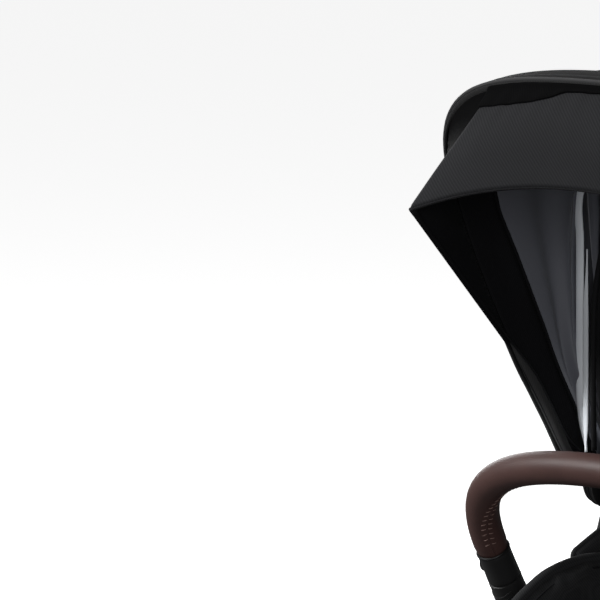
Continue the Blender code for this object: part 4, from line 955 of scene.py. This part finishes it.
def make_border():
    """Below the knee the front edge's hem turns in and shows as a lighter border."""
    seam = (
        (0.016, -0.0336), (0.0313, -0.0361), (0.0477, -0.0354), (0.075, -0.0381),
        (0.1007, -0.051), (0.1177, -0.0693), (0.1416, -0.0906),
    )
    top = 0.142
    for name, sign in SIDES:
        rows = [[], [], [], [], []]
        for k, a in enumerate(LINING_FRONT):
            if a.z - HINGE.z >= top or a.x * sign <= 0:
                continue
            share = lining_share(k, HINGE.y + interpolate(seam, a.z - HINGE.z), 0.0, 0.6)
            for i, row in enumerate(rows):
                row.append(lining_wall(k, share * i / 4, 0.0064 if i else 0.0024))
        border = sheet_grid(f"canopy_border_{name}", rows, "edging", 0.0006)
        assign(border, blend_front)
        piping = tube(f"canopy_border_piping_{name}", resampled(rows[4], 60), 0.0008, "edging", 6)
        blend_front(piping)


# Visor.


def visor_edge(t):
    """The visor's lower edge, t from -1 at the right corner to 1 at the left one."""
    return lean_point(0.19 * t, 0.4213 - 0.0258 * t * t, 41.76 + 3.11 * t * t)


VISOR_TOP_HALF = 0.1245
VISOR_LIFT = Vector((0, -0.8, 0.6))
HOOP = arch(0.0, FRONT_CROWN, 0.3, 200)


def hoop_height(x):
    """The height of the canopy's front edge at a half width."""
    return min(HOOP, key=lambda p: abs(p.x - x)).y


def visor_top(t):
    """The seam that holds the visor under the canopy's front edge."""
    x = VISOR_TOP_HALF * t
    return lean_point(x, hoop_height(x) - 0.0085, FRONT_LEAN + 0.5)


def visor_point(t, v):
    """A point of the visor cloth, v from 0 at its top seam to 1 at its lower edge."""
    p = visor_top(t).lerp(visor_edge(t), v)
    bulge = 0.0055 * sin(pi * v) * (1 - t**4)
    ripple = 0.0009 * noise.noise(p * 18.0) * sin(pi * v)
    pucker = 0.0007 * sin(t * 38.0) * (1 - v) ** 3 + ripple
    return p + VISOR_LIFT * (bulge + pucker)


# How far the pleat under the piped edge, a sheet of painted shade, reaches down, by distance from the middle.
PLEAT_DEPTH = (
    (0.0, 0.0055), (0.018, 0.0065), (0.03, 0.01), (0.043, 0.017), (0.065, 0.0235), (0.083, 0.026),
    (0.105, 0.0265), (0.15, 0.024),
)


def make_visor():
    count, steps = 41, 14
    across = [1 - 2 * k / (count - 1) for k in range(count)]
    rows = [[visor_point(t, i / steps) for t in across] for i in range(steps + 1)]
    item = assign(sheet_grid("visor_cloth", rows, "twill", 0.0022), blend_visor, "visor")
    fine = [1 - k / 40 for k in range(81)]
    hem = assign(tube("visor_edge_piping", [visor_edge(t) for t in fine], 0.0019, "twill", 8), "visor")
    line = [visor_point(t * 0.985, 0.945) + Vector((0, -0.0009, 0.0005)) for t in fine]
    stitch = assign(tube("visor_hem_seam", line, 0.0004, "black_thread", 6), blend_visor)
    make_visor_pleat()
    for name, sign in SIDES:
        side = [visor_point(sign, i / 20) for i in range(21)]
        assign(tube(f"visor_side_piping_{name}", side, 0.0012, "twill", 8), blend_visor)


def make_visor_pleat():
    """The pleat between the canopy's piped edge and the visor, in near-black cloth as painted shade."""
    count = 49
    rows = [[], [], [], [], []]
    for k in range(count):
        t = (1 - 2 * k / (count - 1)) * 1.03
        x = VISOR_TOP_HALF * t
        reach = interpolate(PLEAT_DEPTH, abs(x)) + 0.0012 * noise.noise(Vector((x * 60, 0, 0)))
        long = (visor_edge(t) - visor_top(t)).length
        low = max(0.002, reach - 0.0085)
        rows[0].append(lean_point(x, hoop_height(x) - 0.0018, FRONT_LEAN + 0.2))
        rows[1].append(visor_top(t) + Vector((0, -0.0024, 0.0018)))
        for row, share, lift in ((rows[2], 0.4, 0.0034), (rows[3], 0.8, 0.0034), (rows[4], 1.0, 0.0024)):
            row.append(visor_point(t, low * share / long) + VISOR_LIFT * lift)
    item = assign(sheet_grid("visor_pleat_painted_shade", rows, "recess", 0.0006), "canopy_front")


def make_visor_wires():
    """The sprung wires that carry the visor's corners, in a sleeve along the edge of the side cloth."""
    places = (
        (0.1885, -0.0112, 0.0114), (0.2085, -0.033, 0.0394), (0.2265, -0.042, 0.0761),
        (0.233, -0.056, 0.1036), (0.2385, -0.089, 0.14),
    )
    radii = [0.0013 + 0.0018 * smoothstep((i - 55) / 3) for i in range(60)]
    eye = ((-0.0012, 0.0085), (-0.0012, 0.015), (0.0012, 0.015), (0.0012, 0.0085))
    for name, sign in SIDES:
        points = [HINGE + Vector((sign * x, y, z)) for x, y, z in places]
        corner = visor_edge(sign) + Vector((-sign * 0.002, 0.001, 0))
        path = resampled(curve_through(points, 40) + [corner], 60)
        assign(tube(f"visor_wire_sleeve_{name}", path, radii, "inner", 8), "visor")
        centre = HINGE + Vector((sign * 0.1918, 0, 0))
        assign(lathe(f"visor_wire_eye_{name}", eye, centre, Vector((1, 0, 0)), "metal", 40), "visor")


# Distance from the hinge to the canopy's knee, where the side cloth starts.
KNEE_HEIGHT = 0.15


def make_gussets():
    """Side cloth from the visor's side and wire to the canopy's front edge, down to the knee."""
    ahead = Vector((0, -sin(0.56), cos(0.56)))
    count, corner_row = 25, 15
    for name, sign in SIDES:
        hoop = [p for p in front_edge(0.002, 0.004, 241) if p.x * sign > 0]
        if sign < 0:
            hoop.reverse()
        corner = visor_edge(sign)
        knee = min(hoop, key=lambda p: abs((p - HINGE).dot(ahead) - KNEE_HEIGHT))
        last = max(k for k, p in enumerate(hoop) if abs(p.x) >= VISOR_TOP_HALF or p.z < HINGE.z + 0.2)
        stretch = resampled(hoop[hoop.index(knee) : last + 1], count)
        inner = [stretch[0].lerp(corner, i / corner_row) for i in range(corner_row)]
        inner += [visor_point(sign, 1 - i / (count - 1 - corner_row)) for i in range(count - corner_row)]
        rows = []
        for j in range(9):
            v = j / 8
            row = []
            for a, b in zip(stretch, inner):
                sag = 0.01 * sin(pi * v) * min(1.0, (b - a).length / 0.1)
                row.append(a.lerp(b, v) + Vector((-sign * 0.8, 0.4, 0)) * sag)
            rows.append(row)
        gusset = sheet_grid(f"visor_gusset_{name}", [row[: corner_row + 1] for row in rows], "inner", 0.001)
        assign(gusset, blend_visor)
        # The side cloth takes the near-black cloth, painted shade between the visor's side and the canopy's
        # front edge.
        side = sheet_grid(f"visor_side_{name}", [row[corner_row:] for row in rows], "recess", 0.001)
        assign(side, blend_visor)
        hem = resampled([stretch[0], corner], 30)
        assign(tube(f"visor_gusset_hem_{name}", hem, 0.0012, "inner", 8), blend_visor)


# Bumper bar.


BAR_LEAN = radians(60.1)
BAR_RISE = Vector((0.0, -cos(BAR_LEAN), sin(BAR_LEAN)))
BAR_NORMAL = Vector((0.0, sin(BAR_LEAN), cos(BAR_LEAN)))
BAR_RADIUS = 0.0157
BAR_JOINT = 0.0626
BAR_LEATHER = 0.096
BAR_BUTTON = 0.078
BAR_BASE = Vector((0.0, -0.15, 0.549))
BAR_HALF = 0.2075


def bar_at(across, height):
    return BAR_BASE + Vector((across, 0, 0)) + BAR_RISE * height


def bar_line(start, count):
    """The bar's middle line between its two legs, evenly spaced."""
    leg, corner = bar_at(BAR_HALF, 0.099), bar_at(BAR_HALF, 0.1837)
    half = bezier(leg, corner, bar_at(0.145, 0.215), bar_at(0, 0.215), 40)
    other = [Vector((-p.x, p.y, p.z)) for p in reversed(half[:-1])]
    return resampled([bar_at(BAR_HALF, start)] + half + other + [bar_at(-BAR_HALF, start)], count)


def make_bar():
    path = bar_line(BAR_LEATHER, 161)
    last = len(path) - 1
    radii = []
    for i in range(last + 1):
        near = min(i, last - i)
        rounding = 0.0012 * (1 - smoothstep(near / 3.0))
        radii.append(BAR_RADIUS - rounding - 0.0006 * smoothstep((near - 18) / 12.0))
    grip = tube("bumper_bar_leather", path, radii, "leather", 32, 1.0, BAR_NORMAL)
    assign(grip, "bumper", "bumper_grip")
    make_bar_stitches(path, radii)
    make_bar_ends()


def make_bar_stitches(path, radii):
    """The seam on the inner side of the bar, laced with a row of crossed stitches on each side."""
    last = len(path) - 1
    middle = Vector((0, BAR_BASE.y, BAR_BASE.z)) + BAR_RISE * 0.1
    line, stitches = [], []
    angles = [0.07 + 0.26 * step / 4 for step in range(5)]
    for i, p in enumerate(path):
        tangent = tangent_at(path, i)
        side = BAR_NORMAL.cross(tangent).normalized()
        if side.dot(middle - p) < 0:
            side.negate()
        # The seam turns a little to the front of the bar near its ends.
        turn = -0.75 * (1 - smoothstep((min(i, last - i) - 10) / 22.0))
        side = (side * cos(turn) + BAR_NORMAL * sin(turn)).normalized()
        line.append(p + side * (radii[i] + 0.0001))
        if i % 2 and 3 <= i < last - 3:
            over = tangent.cross(side)
            lift = radii[i] + 0.0002
            stitches += stitch_pair(p, tangent, side, over, lift, angles, 0.0011, 0.00045, 0.0004)
    assign(tube("bumper_bar_seam", line, 0.0007, "leather", 6), "bumper")
    assign(join("bumper_bar_stitches", stitches), "bumper")


def make_bar_ends():
    """The plastic sleeves between the leather and the seat's sockets, each with a ringed button."""
    stations = (
        (BAR_JOINT, -0.0016), (BAR_JOINT + 0.001, -0.0004), (BAR_JOINT + 0.003, 0.0001), (0.07, 0.0),
        (0.08, -0.0002), (0.09, -0.0002), (0.0945, 0.0), (0.0957, -0.0006),
    )
    ring_outline = ((-0.003, 0.007), (0.0008, 0.007), (0.0012, 0.0078), (0.0008, 0.0088), (-0.003, 0.0092))
    cap_outline = (
        (-0.0025, 0.0002), (-0.0025, 0.0066), (0.0012, 0.0066), (0.002, 0.0058), (0.0016, 0.003),
        (0.0015, 0.0002),
    )
    across = Vector((1, 0, 0))
    sleeves, collars = [], []
    for name, sign in SIDES:
        path = [bar_at(sign * BAR_HALF, height) for height, _ in stations]
        radii = [BAR_RADIUS + change for _, change in stations]
        sleeves.append(tube("sleeve", path, radii, "plastic", 40, 1.0, across))
        lip = [bar_at(sign * BAR_HALF, BAR_LEATHER + change) for change in (-0.001, 0.0004)]
        collars.append(tube("lip", lip, BAR_RADIUS + 0.0005, "rim", 40, 1.0, across))
        centre = bar_at(sign * BAR_HALF, BAR_BUTTON) + Vector((sign * BAR_RADIUS, 0, 0))
        edge = lathe(f"bar_button_ring_{name}", ring_outline, centre, across * sign, "rim", 48)
        assign(edge, "bumper")
        button = lathe(f"bar_button_cap_{name}", cap_outline, centre, across * sign, "plastic", 48)
        assign(button, f"bar_button_{name}", f"bar_button_{name}")
    item = join("bumper_bar_ends", sleeves)
    sharpen(item)
    assign(item, "bumper", "bumper_bar")
    assign(join("bumper_bar_lips", collars), "bumper")


# Seat hubs with the sockets of the bumper bar.


def make_seat_hubs():
    outline = (
        (0.0, 0.0002), (0.0, 0.044), (0.0015, 0.046), (0.0215, 0.046), (0.026, 0.044), (0.0278, 0.04),
        (0.0284, 0.036), (0.0276, 0.0345), (0.0276, 0.014), (0.0287, 0.012), (0.025, 0.0115), (0.024, 0.0002),
    )
    # The sockets' rings as (height along the bar, half length).
    stations = (
        (-0.004, 0.0225), (0.01, 0.0215), (0.022, 0.0192), (0.036, 0.0172), (0.05, 0.016), (0.0585, 0.0157),
        (0.0605, 0.0162), (0.0618, 0.0159), (0.0623, 0.015),
    )
    for name, sign in SIDES:
        low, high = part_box(f"seat_hub_{name}")
        side = Vector((sign, 0, 0))
        centre = SEAT_HUB + side * min(abs(low.x), abs(high.x))
        disc = lathe("disc", outline, centre, side, "plastic", 96)
        rings = []
        for height, half in stations:
            middle = bar_at(sign * BAR_HALF, height)
            rings.append(ring(middle, side * min(BAR_RADIUS, half), BAR_NORMAL * half, 40))
        item = join(f"seat_hub_shell_{name}", [disc, outward(skin("socket", rings, "plastic"))])
        sharpen(item)
        assign(item, "chassis", f"seat_hub_{name}")
        crescents = []
        for height in (0.056, 0.052):
            line = []
            for k in range(33):
                angle = pi * (0.1 + 0.8 * k / 32) + 0.35
                across = side * cos(angle) + BAR_NORMAL * sin(angle)
                middle = bar_at(sign * BAR_HALF, height - 0.007 * sin(pi * k / 32))
                line.append(middle - across * (BAR_RADIUS + 0.0002))
            crescents.append(tube("lip", line, 0.0006, "rim", 6))
        assign(join(f"socket_lips_{name}", crescents), "chassis")


# Seat and backrest.


def back_axes():
    up = Vector((0, HINGE.y - SEAT_HUB.y, HINGE.z - SEAT_HUB.z)).normalized()
    return up, Vector((0, -up.z, up.y))


def back_point(x, up_by, forward):
    up, front = back_axes()
    return SEAT_HUB + Vector((x, 0, 0)) + up * up_by + front * forward


def puffed(name, node, material, voxel=0.006, shrink=0.003, cap=0.008, form=None):
    """A padded piece: the node's form, remeshed, blown up a little by cloth simulation, and smoothed."""
    mesh = frame["nodes"][node].data.copy()
    mesh.materials.clear()
    mesh.materials.append(MATERIALS[material])
    item = linked(name, mesh)
    modify(item, "REMESH", mode="VOXEL", voxel_size=voxel)
    apply_modifiers(item)
    if form:
        for vertex in item.data.vertices:
            vertex.co = form(vertex.co.copy())
    modify(item, "SMOOTH", factor=0.5, iterations=5)
    modify(item, "DISPLACE", strength=-shrink, mid_level=0.0)
    apply_modifiers(item)
    start = [v.co.copy() for v in item.data.vertices]
    inflate(item)
    for vertex, before in zip(item.data.vertices, start):
        move = vertex.co - before
        if move.length > cap:
            vertex.co = before + move * (cap / move.length)
    modify(item, "SMOOTH", factor=0.5, iterations=2)
    modify(item, "SUBSURF", levels=1, render_levels=1)
    apply_modifiers(item)
    normals = [v.normal.copy() for v in item.data.vertices]
    for vertex, normal in zip(item.data.vertices, normals):
        wrinkle = 0.0012 * noise.noise(vertex.co * 30.0) + 0.0006 * noise.noise(vertex.co * 75.0)
        vertex.co += normal * wrinkle
    item.data.shade_smooth()
    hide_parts(node)
    return item


def finished_pad(item, body):
    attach(item, body)


def laid(item, points, direction, reach=0.1):
    """Lays points onto a piece along a direction, and leaves out those that miss it."""
    tree = BVHTree.FromPolygons([v.co for v in item.data.vertices], [p.vertices for p in item.data.polygons])
    found = []
    for p in points:
        hit = tree.ray_cast(p - direction * reach, direction, 2 * reach)[0]
        if hit is not None:
            found.append(hit - direction * 0.0004)
    return found


def inflate(item):
    """Blows the cloth up for twenty frames without gravity."""
    cloth = item.modifiers.new("cloth", "CLOTH")
    settings = cloth.settings
    settings.quality = 5
    settings.use_pressure = True
    settings.uniform_pressure_force = 4.0
    settings.effector_weights.gravity = 0.0
    settings.tension_stiffness = 12.0
    settings.compression_stiffness = 12.0
    settings.bending_stiffness = 0.4
    scene = bpy.context.scene
    for number in range(1, 21):
        scene.frame_set(number)
    apply_modifiers(item)
    scene.frame_set(1)


def make_seat():
    liner = puffed("seat_liner_pad", "seat_liner", "seat")
    lift_bolsters(liner)
    finished_pad(liner, "chassis")
    make_bolster_trim()
    make_liner_seams(liner)
    make_side_flaps()
    rest = puffed("leg_rest_cushion", "leg_rest_pad", "seat", 0.005, 0.002, 0.005)
    finished_pad(rest, "leg_rest")
    back = puffed("back_cushion", "backrest_pad", "wing", form=wing_form)
    finished_pad(back, "backrest")
    head = puffed("headrest_cushion", "headrest", "seat", 0.004, 0.002, 0.005)
    finished_pad(head, "backrest")
    make_back_seams(back, head)
    make_leg_rest_seams(rest)
    make_harness()


# The wing's front edge as (along the back, forward of it), in the CAD and as it is sewn.
WING_CAD = ((0.118, 0.045), (0.2, 0.078), (0.33, 0.078), (0.41, 0.055), (0.45, 0.032))
WING_SEWN = (
    (0.118, 0.045), (0.136, 0.056), (0.176, 0.0735), (0.22, 0.0915), (0.264, 0.1085), (0.309, 0.1235),
    (0.342, 0.1285), (0.372, 0.1285), (0.384, 0.115), (0.4, 0.085), (0.425, 0.056), (0.45, 0.034),
)


def wing_form(p):
    """Draws the upper wings of the back pad forward to their sewn edge."""
    up, front = back_axes()
    offset = p - SEAT_HUB
    up_by, forward = offset.dot(up), offset.dot(front)
    side = smoothstep((abs(p.x) - 0.128) / 0.008)
    was, now = interpolate(WING_CAD, up_by), interpolate(WING_SEWN, up_by)
    reach = max(0.0, min(1.0, (forward - 0.012) / (was - 0.012)))
    return p + front * (now - was) * reach * side


def lift_bolsters(item):
    """Brings the tops of the seat's sides up to their bound edge."""
    tops = {}
    for vertex in item.data.vertices:
        if 0.138 < abs(vertex.co.x) < 0.16:
            station = round(vertex.co.y / 0.01)
            tops[station] = max(tops.get(station, 0.0), vertex.co.z)
    table = sorted((station * 0.01, top) for station, top in tops.items())
    for vertex in item.data.vertices:
        p = vertex.co
        top = interpolate(table, p.y)
        share = smoothstep((p.z - 0.49) / max(0.001, top - 0.49)) * smoothstep((abs(p.x) - 0.118) / 0.018)
        if p.y > -0.33:
            p.z += (interpolate(BOLSTER_TOP, p.y) - 0.0005 - top) * share


def make_liner_seams(item):
    """Sewn channels across the seat."""
    lines = []
    for y in (-0.3, -0.255, -0.16):
        lines.append(laid(item, [Vector((x / 100, y, 0.49)) for x in range(-12, 13)], Vector((0, 0, -1))))
    sew("seat_liner_seams", lines, 0.0009, "chassis")


def make_leg_rest_seams(item):
    lines = []
    low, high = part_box("leg_rest_pad")
    for share in (0.25, 0.5, 0.75):
        z = low.z + (high.z - low.z) * share
        lines.append(laid(item, [Vector((x / 100, -0.41, z)) for x in range(-13, 14)], Vector((0, 1, 0))))
    sew("leg_rest_seams", lines, 0.0008, "leg_rest")


# Bolster top edge as (y, z) at the side of the seat.
BOLSTER_TOP = (
    (-0.329, 0.49), (-0.29, 0.535), (-0.244, 0.586), (-0.2147, 0.6045), (-0.184, 0.6165), (-0.139, 0.6215),
    (-0.094, 0.6165), (-0.066, 0.6065),
)


def make_bolster_trim():
    """The bound edge along the top of each bolster, with its seam below."""
    for name, sign in SIDES:
        path = curve_through([Vector((sign * 0.1495, y, z)) for y, z in BOLSTER_TOP], 80)
        assign(tube(f"bolster_binding_{name}", path, 0.0052, "seat", 12), "chassis")
        seam = [p + Vector((-sign * 0.01, 0, -0.0068)) for p in path]
        assign(tube(f"bolster_seam_{name}", seam, 0.0009, "black_thread", 6), "chassis")


def make_side_flaps():
    """A bound flap of seat cloth that lies on each bolster in front of the backrest."""
    outline = (
        (-0.1405, 0.6225), (-0.1415, 0.6275), (-0.136, 0.631), (-0.101, 0.6445), (-0.085, 0.647),
        (-0.074, 0.64),
    )
    under = ((-0.136, 0.62), (-0.101, 0.6215), (-0.074, 0.62))
    place = 0.158
    for name, sign in SIDES:
        top = curve_through([Vector((sign * place, y, z)) for y, z in outline], 30)
        low = curve_through([Vector((sign * place, y, z)) for y, z in under], 30)
        thick = Vector((sign * 0.0065, 0, 0))
        rings = [ring((a + b) / 2, thick, (a - b) / 2, 16) for a, b in zip(top, low)]
        flap = outward(skin(f"side_flap_{name}", rings, "seat"))
        assign(flap, "chassis")
        assign(tube(f"side_flap_edge_{name}", top, 0.0022, "seat", 8), "chassis")


def make_back_seams(back, head):
    """Sewn channels across the back pad and the headrest, and piping along the wings."""
    _, front = back_axes()
    lines = []
    for item, half, stations, forward in (
        (back, 0.115, (0.06, 0.155, 0.25), 0.028),
        (head, 0.085, (0.335, 0.415), 0.05),
    ):
        for up_by in stations:
            points = [back_point(half * k / 12, up_by, forward) for k in range(-12, 13)]
            lines.append(laid(item, points, -front, reach=0.04))
    sew("back_seams", lines, 0.0008, "backrest")
    for name, sign in SIDES:
        points = [back_point(sign * 0.156, a, f - 0.0015) for a, f in WING_SEWN if a > 0.14]
        assign(tube(f"wing_piping_{name}", curve_through(points, 90), 0.0026, "wing", 10), "backrest")


def make_harness():
    """Padded shoulder straps with stitched edges, and the webbing of the crotch strap."""
    _, front = back_axes()
    for name, sign in SIDES:
        places = ((0.04, 0.094), (0.0475, 0.19), (0.05, 0.286))
        path = curve_through([back_point(sign * x, up_by, 0.03) for x, up_by in places], 30)
        pad = flat_strap(f"shoulder_pad_{name}", path, Vector((sign, 0, 0)), front, 0.0185, 0.004, "seat")
        assign(pad, "backrest", f"shoulder_strap_{name}")
        lines = []
        for offset in (-0.015, 0.015):
            lines.append([p + Vector((offset, 0, 0)) + front * 0.0032 for p in path[1:-1]])
        sew(f"shoulder_pad_seams_{name}", lines, 0.0005, "backrest")
    low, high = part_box("crotch_strap")
    foot, neck = Vector((0, high.y - 0.0018, low.z + 0.002)), Vector((0, low.y + 0.0018, high.z - 0.002))
    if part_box("buckle")[0].y > high.y:
        foot.y, neck.y = neck.y, foot.y
    across = Vector((1, 0, 0))
    thick = across.cross(neck - foot).normalized()
    path = resampled([foot, neck], 16)
    strap = flat_strap("crotch_webbing", path, across, thick, 0.0165, 0.0014, "webbing")
    assign(strap, "chassis", "crotch_strap")


def flat_strap(name, path, across, thick, half, half_thick, material):
    """A flat band with rounded edges and ends along a path."""
    rings = []
    last = len(path) - 1
    for i, p in enumerate(path):
        end = min(1.0, 0.55 + 0.45 * sqrt(min(i, last - i) / 2.0))
        points = []
        for k in range(20):
            angle = 2 * pi * k / 20
            c, s = cos(angle), sin(angle)
            x = copysign(abs(c) ** 0.45, c) * half * end
            z = copysign(abs(s) ** 0.7, s) * half_thick * end
            points.append(p + across * x + thick * z)
        rings.append(points)
    return outward(skin(name, rings, material))


# Basket.


def make_basket():
    """A cloth tub that hangs from a stiff rim, with sagging sides and floor and two hanger straps."""
    low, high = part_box("basket")
    front, rear = low.y + 0.001, high.y - 0.001
    rim_front, rim_rear = 0.329, 0.2995
    rows = []
    for down, side_inset, end_inset, sag in BASKET_ROWS:
        row = []
        start = front + 0.058 * min(1.0, down) + end_inset
        for x, y in rounded_loop(0.185 - side_inset, start, rear - end_inset, 0.03):
            top = rim_front + (rim_rear - rim_front) * smoothstep((y - front) / (rear - front))
            z = top + (low.z + 0.002 - top) * down
            middle = 1 - abs(2 * (y - front) / (rear - front) - 1)
            row.append(Vector((x, y, z - sag * middle)))
        rows.append(row)
    centre = Vector((0, (front + rear) / 2, low.z + 0.0005))
    tub = sheet_grid("basket_cloth", rows, "mesh", 0.0, 0, closed=True)
    close_floor(tub, len(rows), len(rows[0]), centre)
    thicken(tub, 0.0016, 0.0)
    assign(tub, "chassis", "basket")
    rim = assign(ring_tube("basket_rim", rows[0], 0.004, "inner"), "chassis")
    seams = [ring_tube("seam", rows[2], 0.0009, "black_thread")]
    for k in range(LOOP_CORNER // 2, len(rows[0]), LOOP_CORNER + LOOP_SIDE):
        seams.append(tube("seam", [row[k] for row in rows[1:6]], 0.0011, "black_thread", 6))
    seam = assign(join("basket_seams", seams), "chassis")
    across = Vector((0, 1, 0))
    for name, sign in SIDES:
        head = Vector((sign * 0.2395, -0.01375, high.z - 0.001))
        foot = Vector((sign * 0.185, -0.01375, rim_rear + 0.004))
        knee = foot + Vector((0, 0, 0.012))
        path = curve_through([foot, knee, knee.lerp(head, 0.5), head], 40)
        thick = across.cross(head - knee).normalized()
        band = flat_strap(f"basket_hanger_{name}", path, across, thick, 0.0095, 0.0012, "webbing")
        assign(band, "chassis")


# The basket's rings from the rim to the floor: share of the way down, side inset, end inset, sag.
BASKET_ROWS = (
    (0.0, 0.0, 0.0, 0.0), (0.07, 0.003, 0.001, 0.0), (0.18, 0.006, 0.002, 0.001),
    (0.4, 0.012, 0.003, 0.002), (0.64, 0.018, 0.004, 0.002), (0.85, 0.022, 0.0055, 0.001),
    (0.955, 0.0265, 0.008, 0.0), (0.99, 0.035, 0.016, 0.0), (0.997, 0.06, 0.04, 0.0),
    (1.0, 0.095, 0.075, 0.0), (1.002, 0.13, 0.11, 0.0),
)


# Steps round each corner of the basket's rings and along each side.
LOOP_CORNER = 8
LOOP_SIDE = 10


def rounded_loop(half, front, rear, corner):
    """Points round a rectangle with rounded corners, the same number whatever its size."""
    corner = min(corner, half * 0.6, (rear - front) * 0.3)
    centres = ((half - corner, front + corner, -90), (half - corner, rear - corner, 0))
    centres += ((-half + corner, rear - corner, 90), (-half + corner, front + corner, 180))
    arcs = []
    for x, y, start in centres:
        arc = []
        for i in range(LOOP_CORNER + 1):
            angle = radians(start + 90 * i / LOOP_CORNER)
            arc.append((x + corner * cos(angle), y + corner * sin(angle)))
        arcs.append(arc)
    points = []
    for arc, following in zip(arcs, arcs[1:] + arcs[:1]):
        points += arc
        (x0, y0), (x1, y1) = arc[-1], following[0]
        for i in range(1, LOOP_SIDE):
            points.append((x0 + (x1 - x0) * i / LOOP_SIDE, y0 + (y1 - y0) * i / LOOP_SIDE))
    return points


def close_floor(item, row_count, width, centre):
    """Closes the innermost ring with a fan of faces."""
    mesh = item.data
    verts = [v.co.copy() for v in mesh.vertices] + [centre]
    faces = [tuple(p.vertices) for p in mesh.polygons]
    start = (row_count - 1) * width
    faces += [(start + k, start + (k + 1) % width, len(verts) - 1) for k in range(width)]
    item.data = new_mesh(item.name, verts, faces, mesh.materials[0])
    map_cloth(item.data, [(p.x + p.z, p.y + p.z * 0.5) for p in verts])
    item.data.shade_smooth()


def ring_tube(name, path, radius, material):
    """A round cord along a closed path."""
    rings = []
    for i, p in enumerate(path):
        tangent = (path[(i + 1) % len(path)] - path[i - 1]).normalized()
        side = (Vector((0, 0, 1)) - tangent * tangent.z).normalized()
        rings.append(ring(p, side * radius, tangent.cross(side) * radius, 10))
    return outward(skin(name, rings, material, looped=True))


# Wheels.


def make_wheels():
    for end, half, depth in (("rear", 0.022, 0.026), ("front", 0.019, 0.02)):
        for name, sign in SIDES:
            low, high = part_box(f"{end}_tyre_{name}")
            centre = (low + high) / 2
            radius = (high.z - low.z) / 2
            body = f"{end}_wheel_{name}"
            outline = tyre_outline(radius, radius - depth, half)
            tyre = lathe(f"{end}_tyre_tread_{name}", outline, centre, Vector((sign, 0, 0)), "rubber", 96)
            assign(tyre, body, f"{end}_tyre_{name}")
            make_tread_blocks(f"{end}_tread_blocks_{name}", centre, radius, half, body)


def tyre_outline(radius, seat, half):
    """The tyre's section, with three grooves round the tread."""
    shoulder = [(0.72, seat), (0.92, seat + 0.004), (1.0, radius - 0.01), (0.9, radius - 0.0035)]
    shoulder += [(0.66, radius - 0.0008)]
    points = [(-half * share, r) for share, r in shoulder]
    for groove in (-0.42, 0.0, 0.42):
        edge, floor = radius - 0.0001 - 0.0004 * abs(groove), radius - 0.0018
        for offset, r in ((-0.075, edge), (-0.045, floor), (0.045, floor), (0.075, edge)):
            points.append(((groove + offset) * half, r))
    return points + [(half * share, r) for share, r in reversed(shoulder)]


def make_tread_blocks(name, centre, radius, half, body):
    """Shallow ribs across the tyre's shoulders."""
    ribs = []
    count = 40
    for k in range(count):
        for sign in (-1, 1):
            angle = 2 * pi * (k + 0.25 * sign) / count
            points = []
            for share, drop in ((0.7, 0.0014), (0.86, 0.0034), (0.97, 0.0087)):
                r = radius - drop
                twist = angle + 0.03 * share
                out = Vector((sign * half * share, r * cos(twist), r * sin(twist)))
                points.append(centre + out)
            ribs.append(tube("rib", points, 0.0011, "rubber", 5))
    assign(join(name, ribs), body)


# Handle grips.


def make_grips():
    """Leather sleeves on the handle bow, each sewn along its underside."""
    crown = joint_at("handle_telescope")
    down = -Vector(JOINTS["handle_telescope"]["axis"]).normalized()
    tube_x, corner, inner_end, leg = 0.28715, 0.065, 0.0345, 0.045
    last = 120
    angles = [0.06 + 0.22 * step / 3 for step in range(4)]
    for name, sign in SIDES:
        turn = crown + Vector((sign * tube_x, 0, 0))
        start = turn - Vector((sign * corner, 0, 0))
        end = turn + down * corner
        bend = bezier(start, start.lerp(turn, 0.56), end.lerp(turn, 0.56), end, 24)
        path = [crown + Vector((sign * inner_end, 0, 0))] + bend + [end + down * 0.04]
        wanted = tube_x + leg - inner_end
        path = resampled([along(path, wanted * i / last) for i in range(last + 1)], last + 1)
        radii = [0.0158 - 0.0014 * (1 - smoothstep(min(i, last - i) / 4.0)) for i in range(last + 1)]
        normal = Vector((sign, 0, 0)).cross(down).normalized()
        grip = tube(f"grip_leather_{name}", path, radii, "leather", 28, 1.0, normal)
        assign(grip, "handle_bow", f"handle_grip_{name}")
        stitches = []
        for i in range(4, 116, 2):
            tangent = tangent_at(path, i)
            side = normal.cross(tangent).normalized()
            if side.z > 0 or (i > 60 and side.x * sign > 0):
                side.negate()
            stitches += stitch_pair(path[i], tangent, side, normal, 0.016, angles, 0.0009, 0.00042)
        assign(join(f"grip_stitches_{name}", stitches), "handle_bow")


# Everything that keeps its CAD shape takes a finished material.


METAL_NODES = (
    "front_leg_left", "front_leg_right", "rear_leg_left", "rear_leg_right", "front_crossbar",
    "rear_axle_beam", "handle_tube_left", "handle_tube_right", "handle_bow", "seat_base_frame",
    "backrest_frame", "leg_rest_frame",
)


def dress_nodes():
    for name, node in frame["nodes"].items():
        key = "plastic"
        if "rim" in name:
            key = "rim"
        elif "tyre" in name:
            key = "rubber"
        elif "strap" in name:
            key = "webbing"
        elif name == "basket":
            key = "mesh"
        elif name in METAL_NODES:
            key = "metal"
        node.data.materials.clear()
        node.data.materials.append(MATERIALS[key])
        node.data.shade_smooth()
        node.data.set_sharp_from_angle(angle=radians(32))


make_camera()
make_materials()
make_studio()
dress_nodes()
make_canopy()
make_visor()
make_visor_wires()
make_gussets()
make_bar()
make_seat_hubs()
make_seat()
make_wheels()
make_grips()
make_basket()
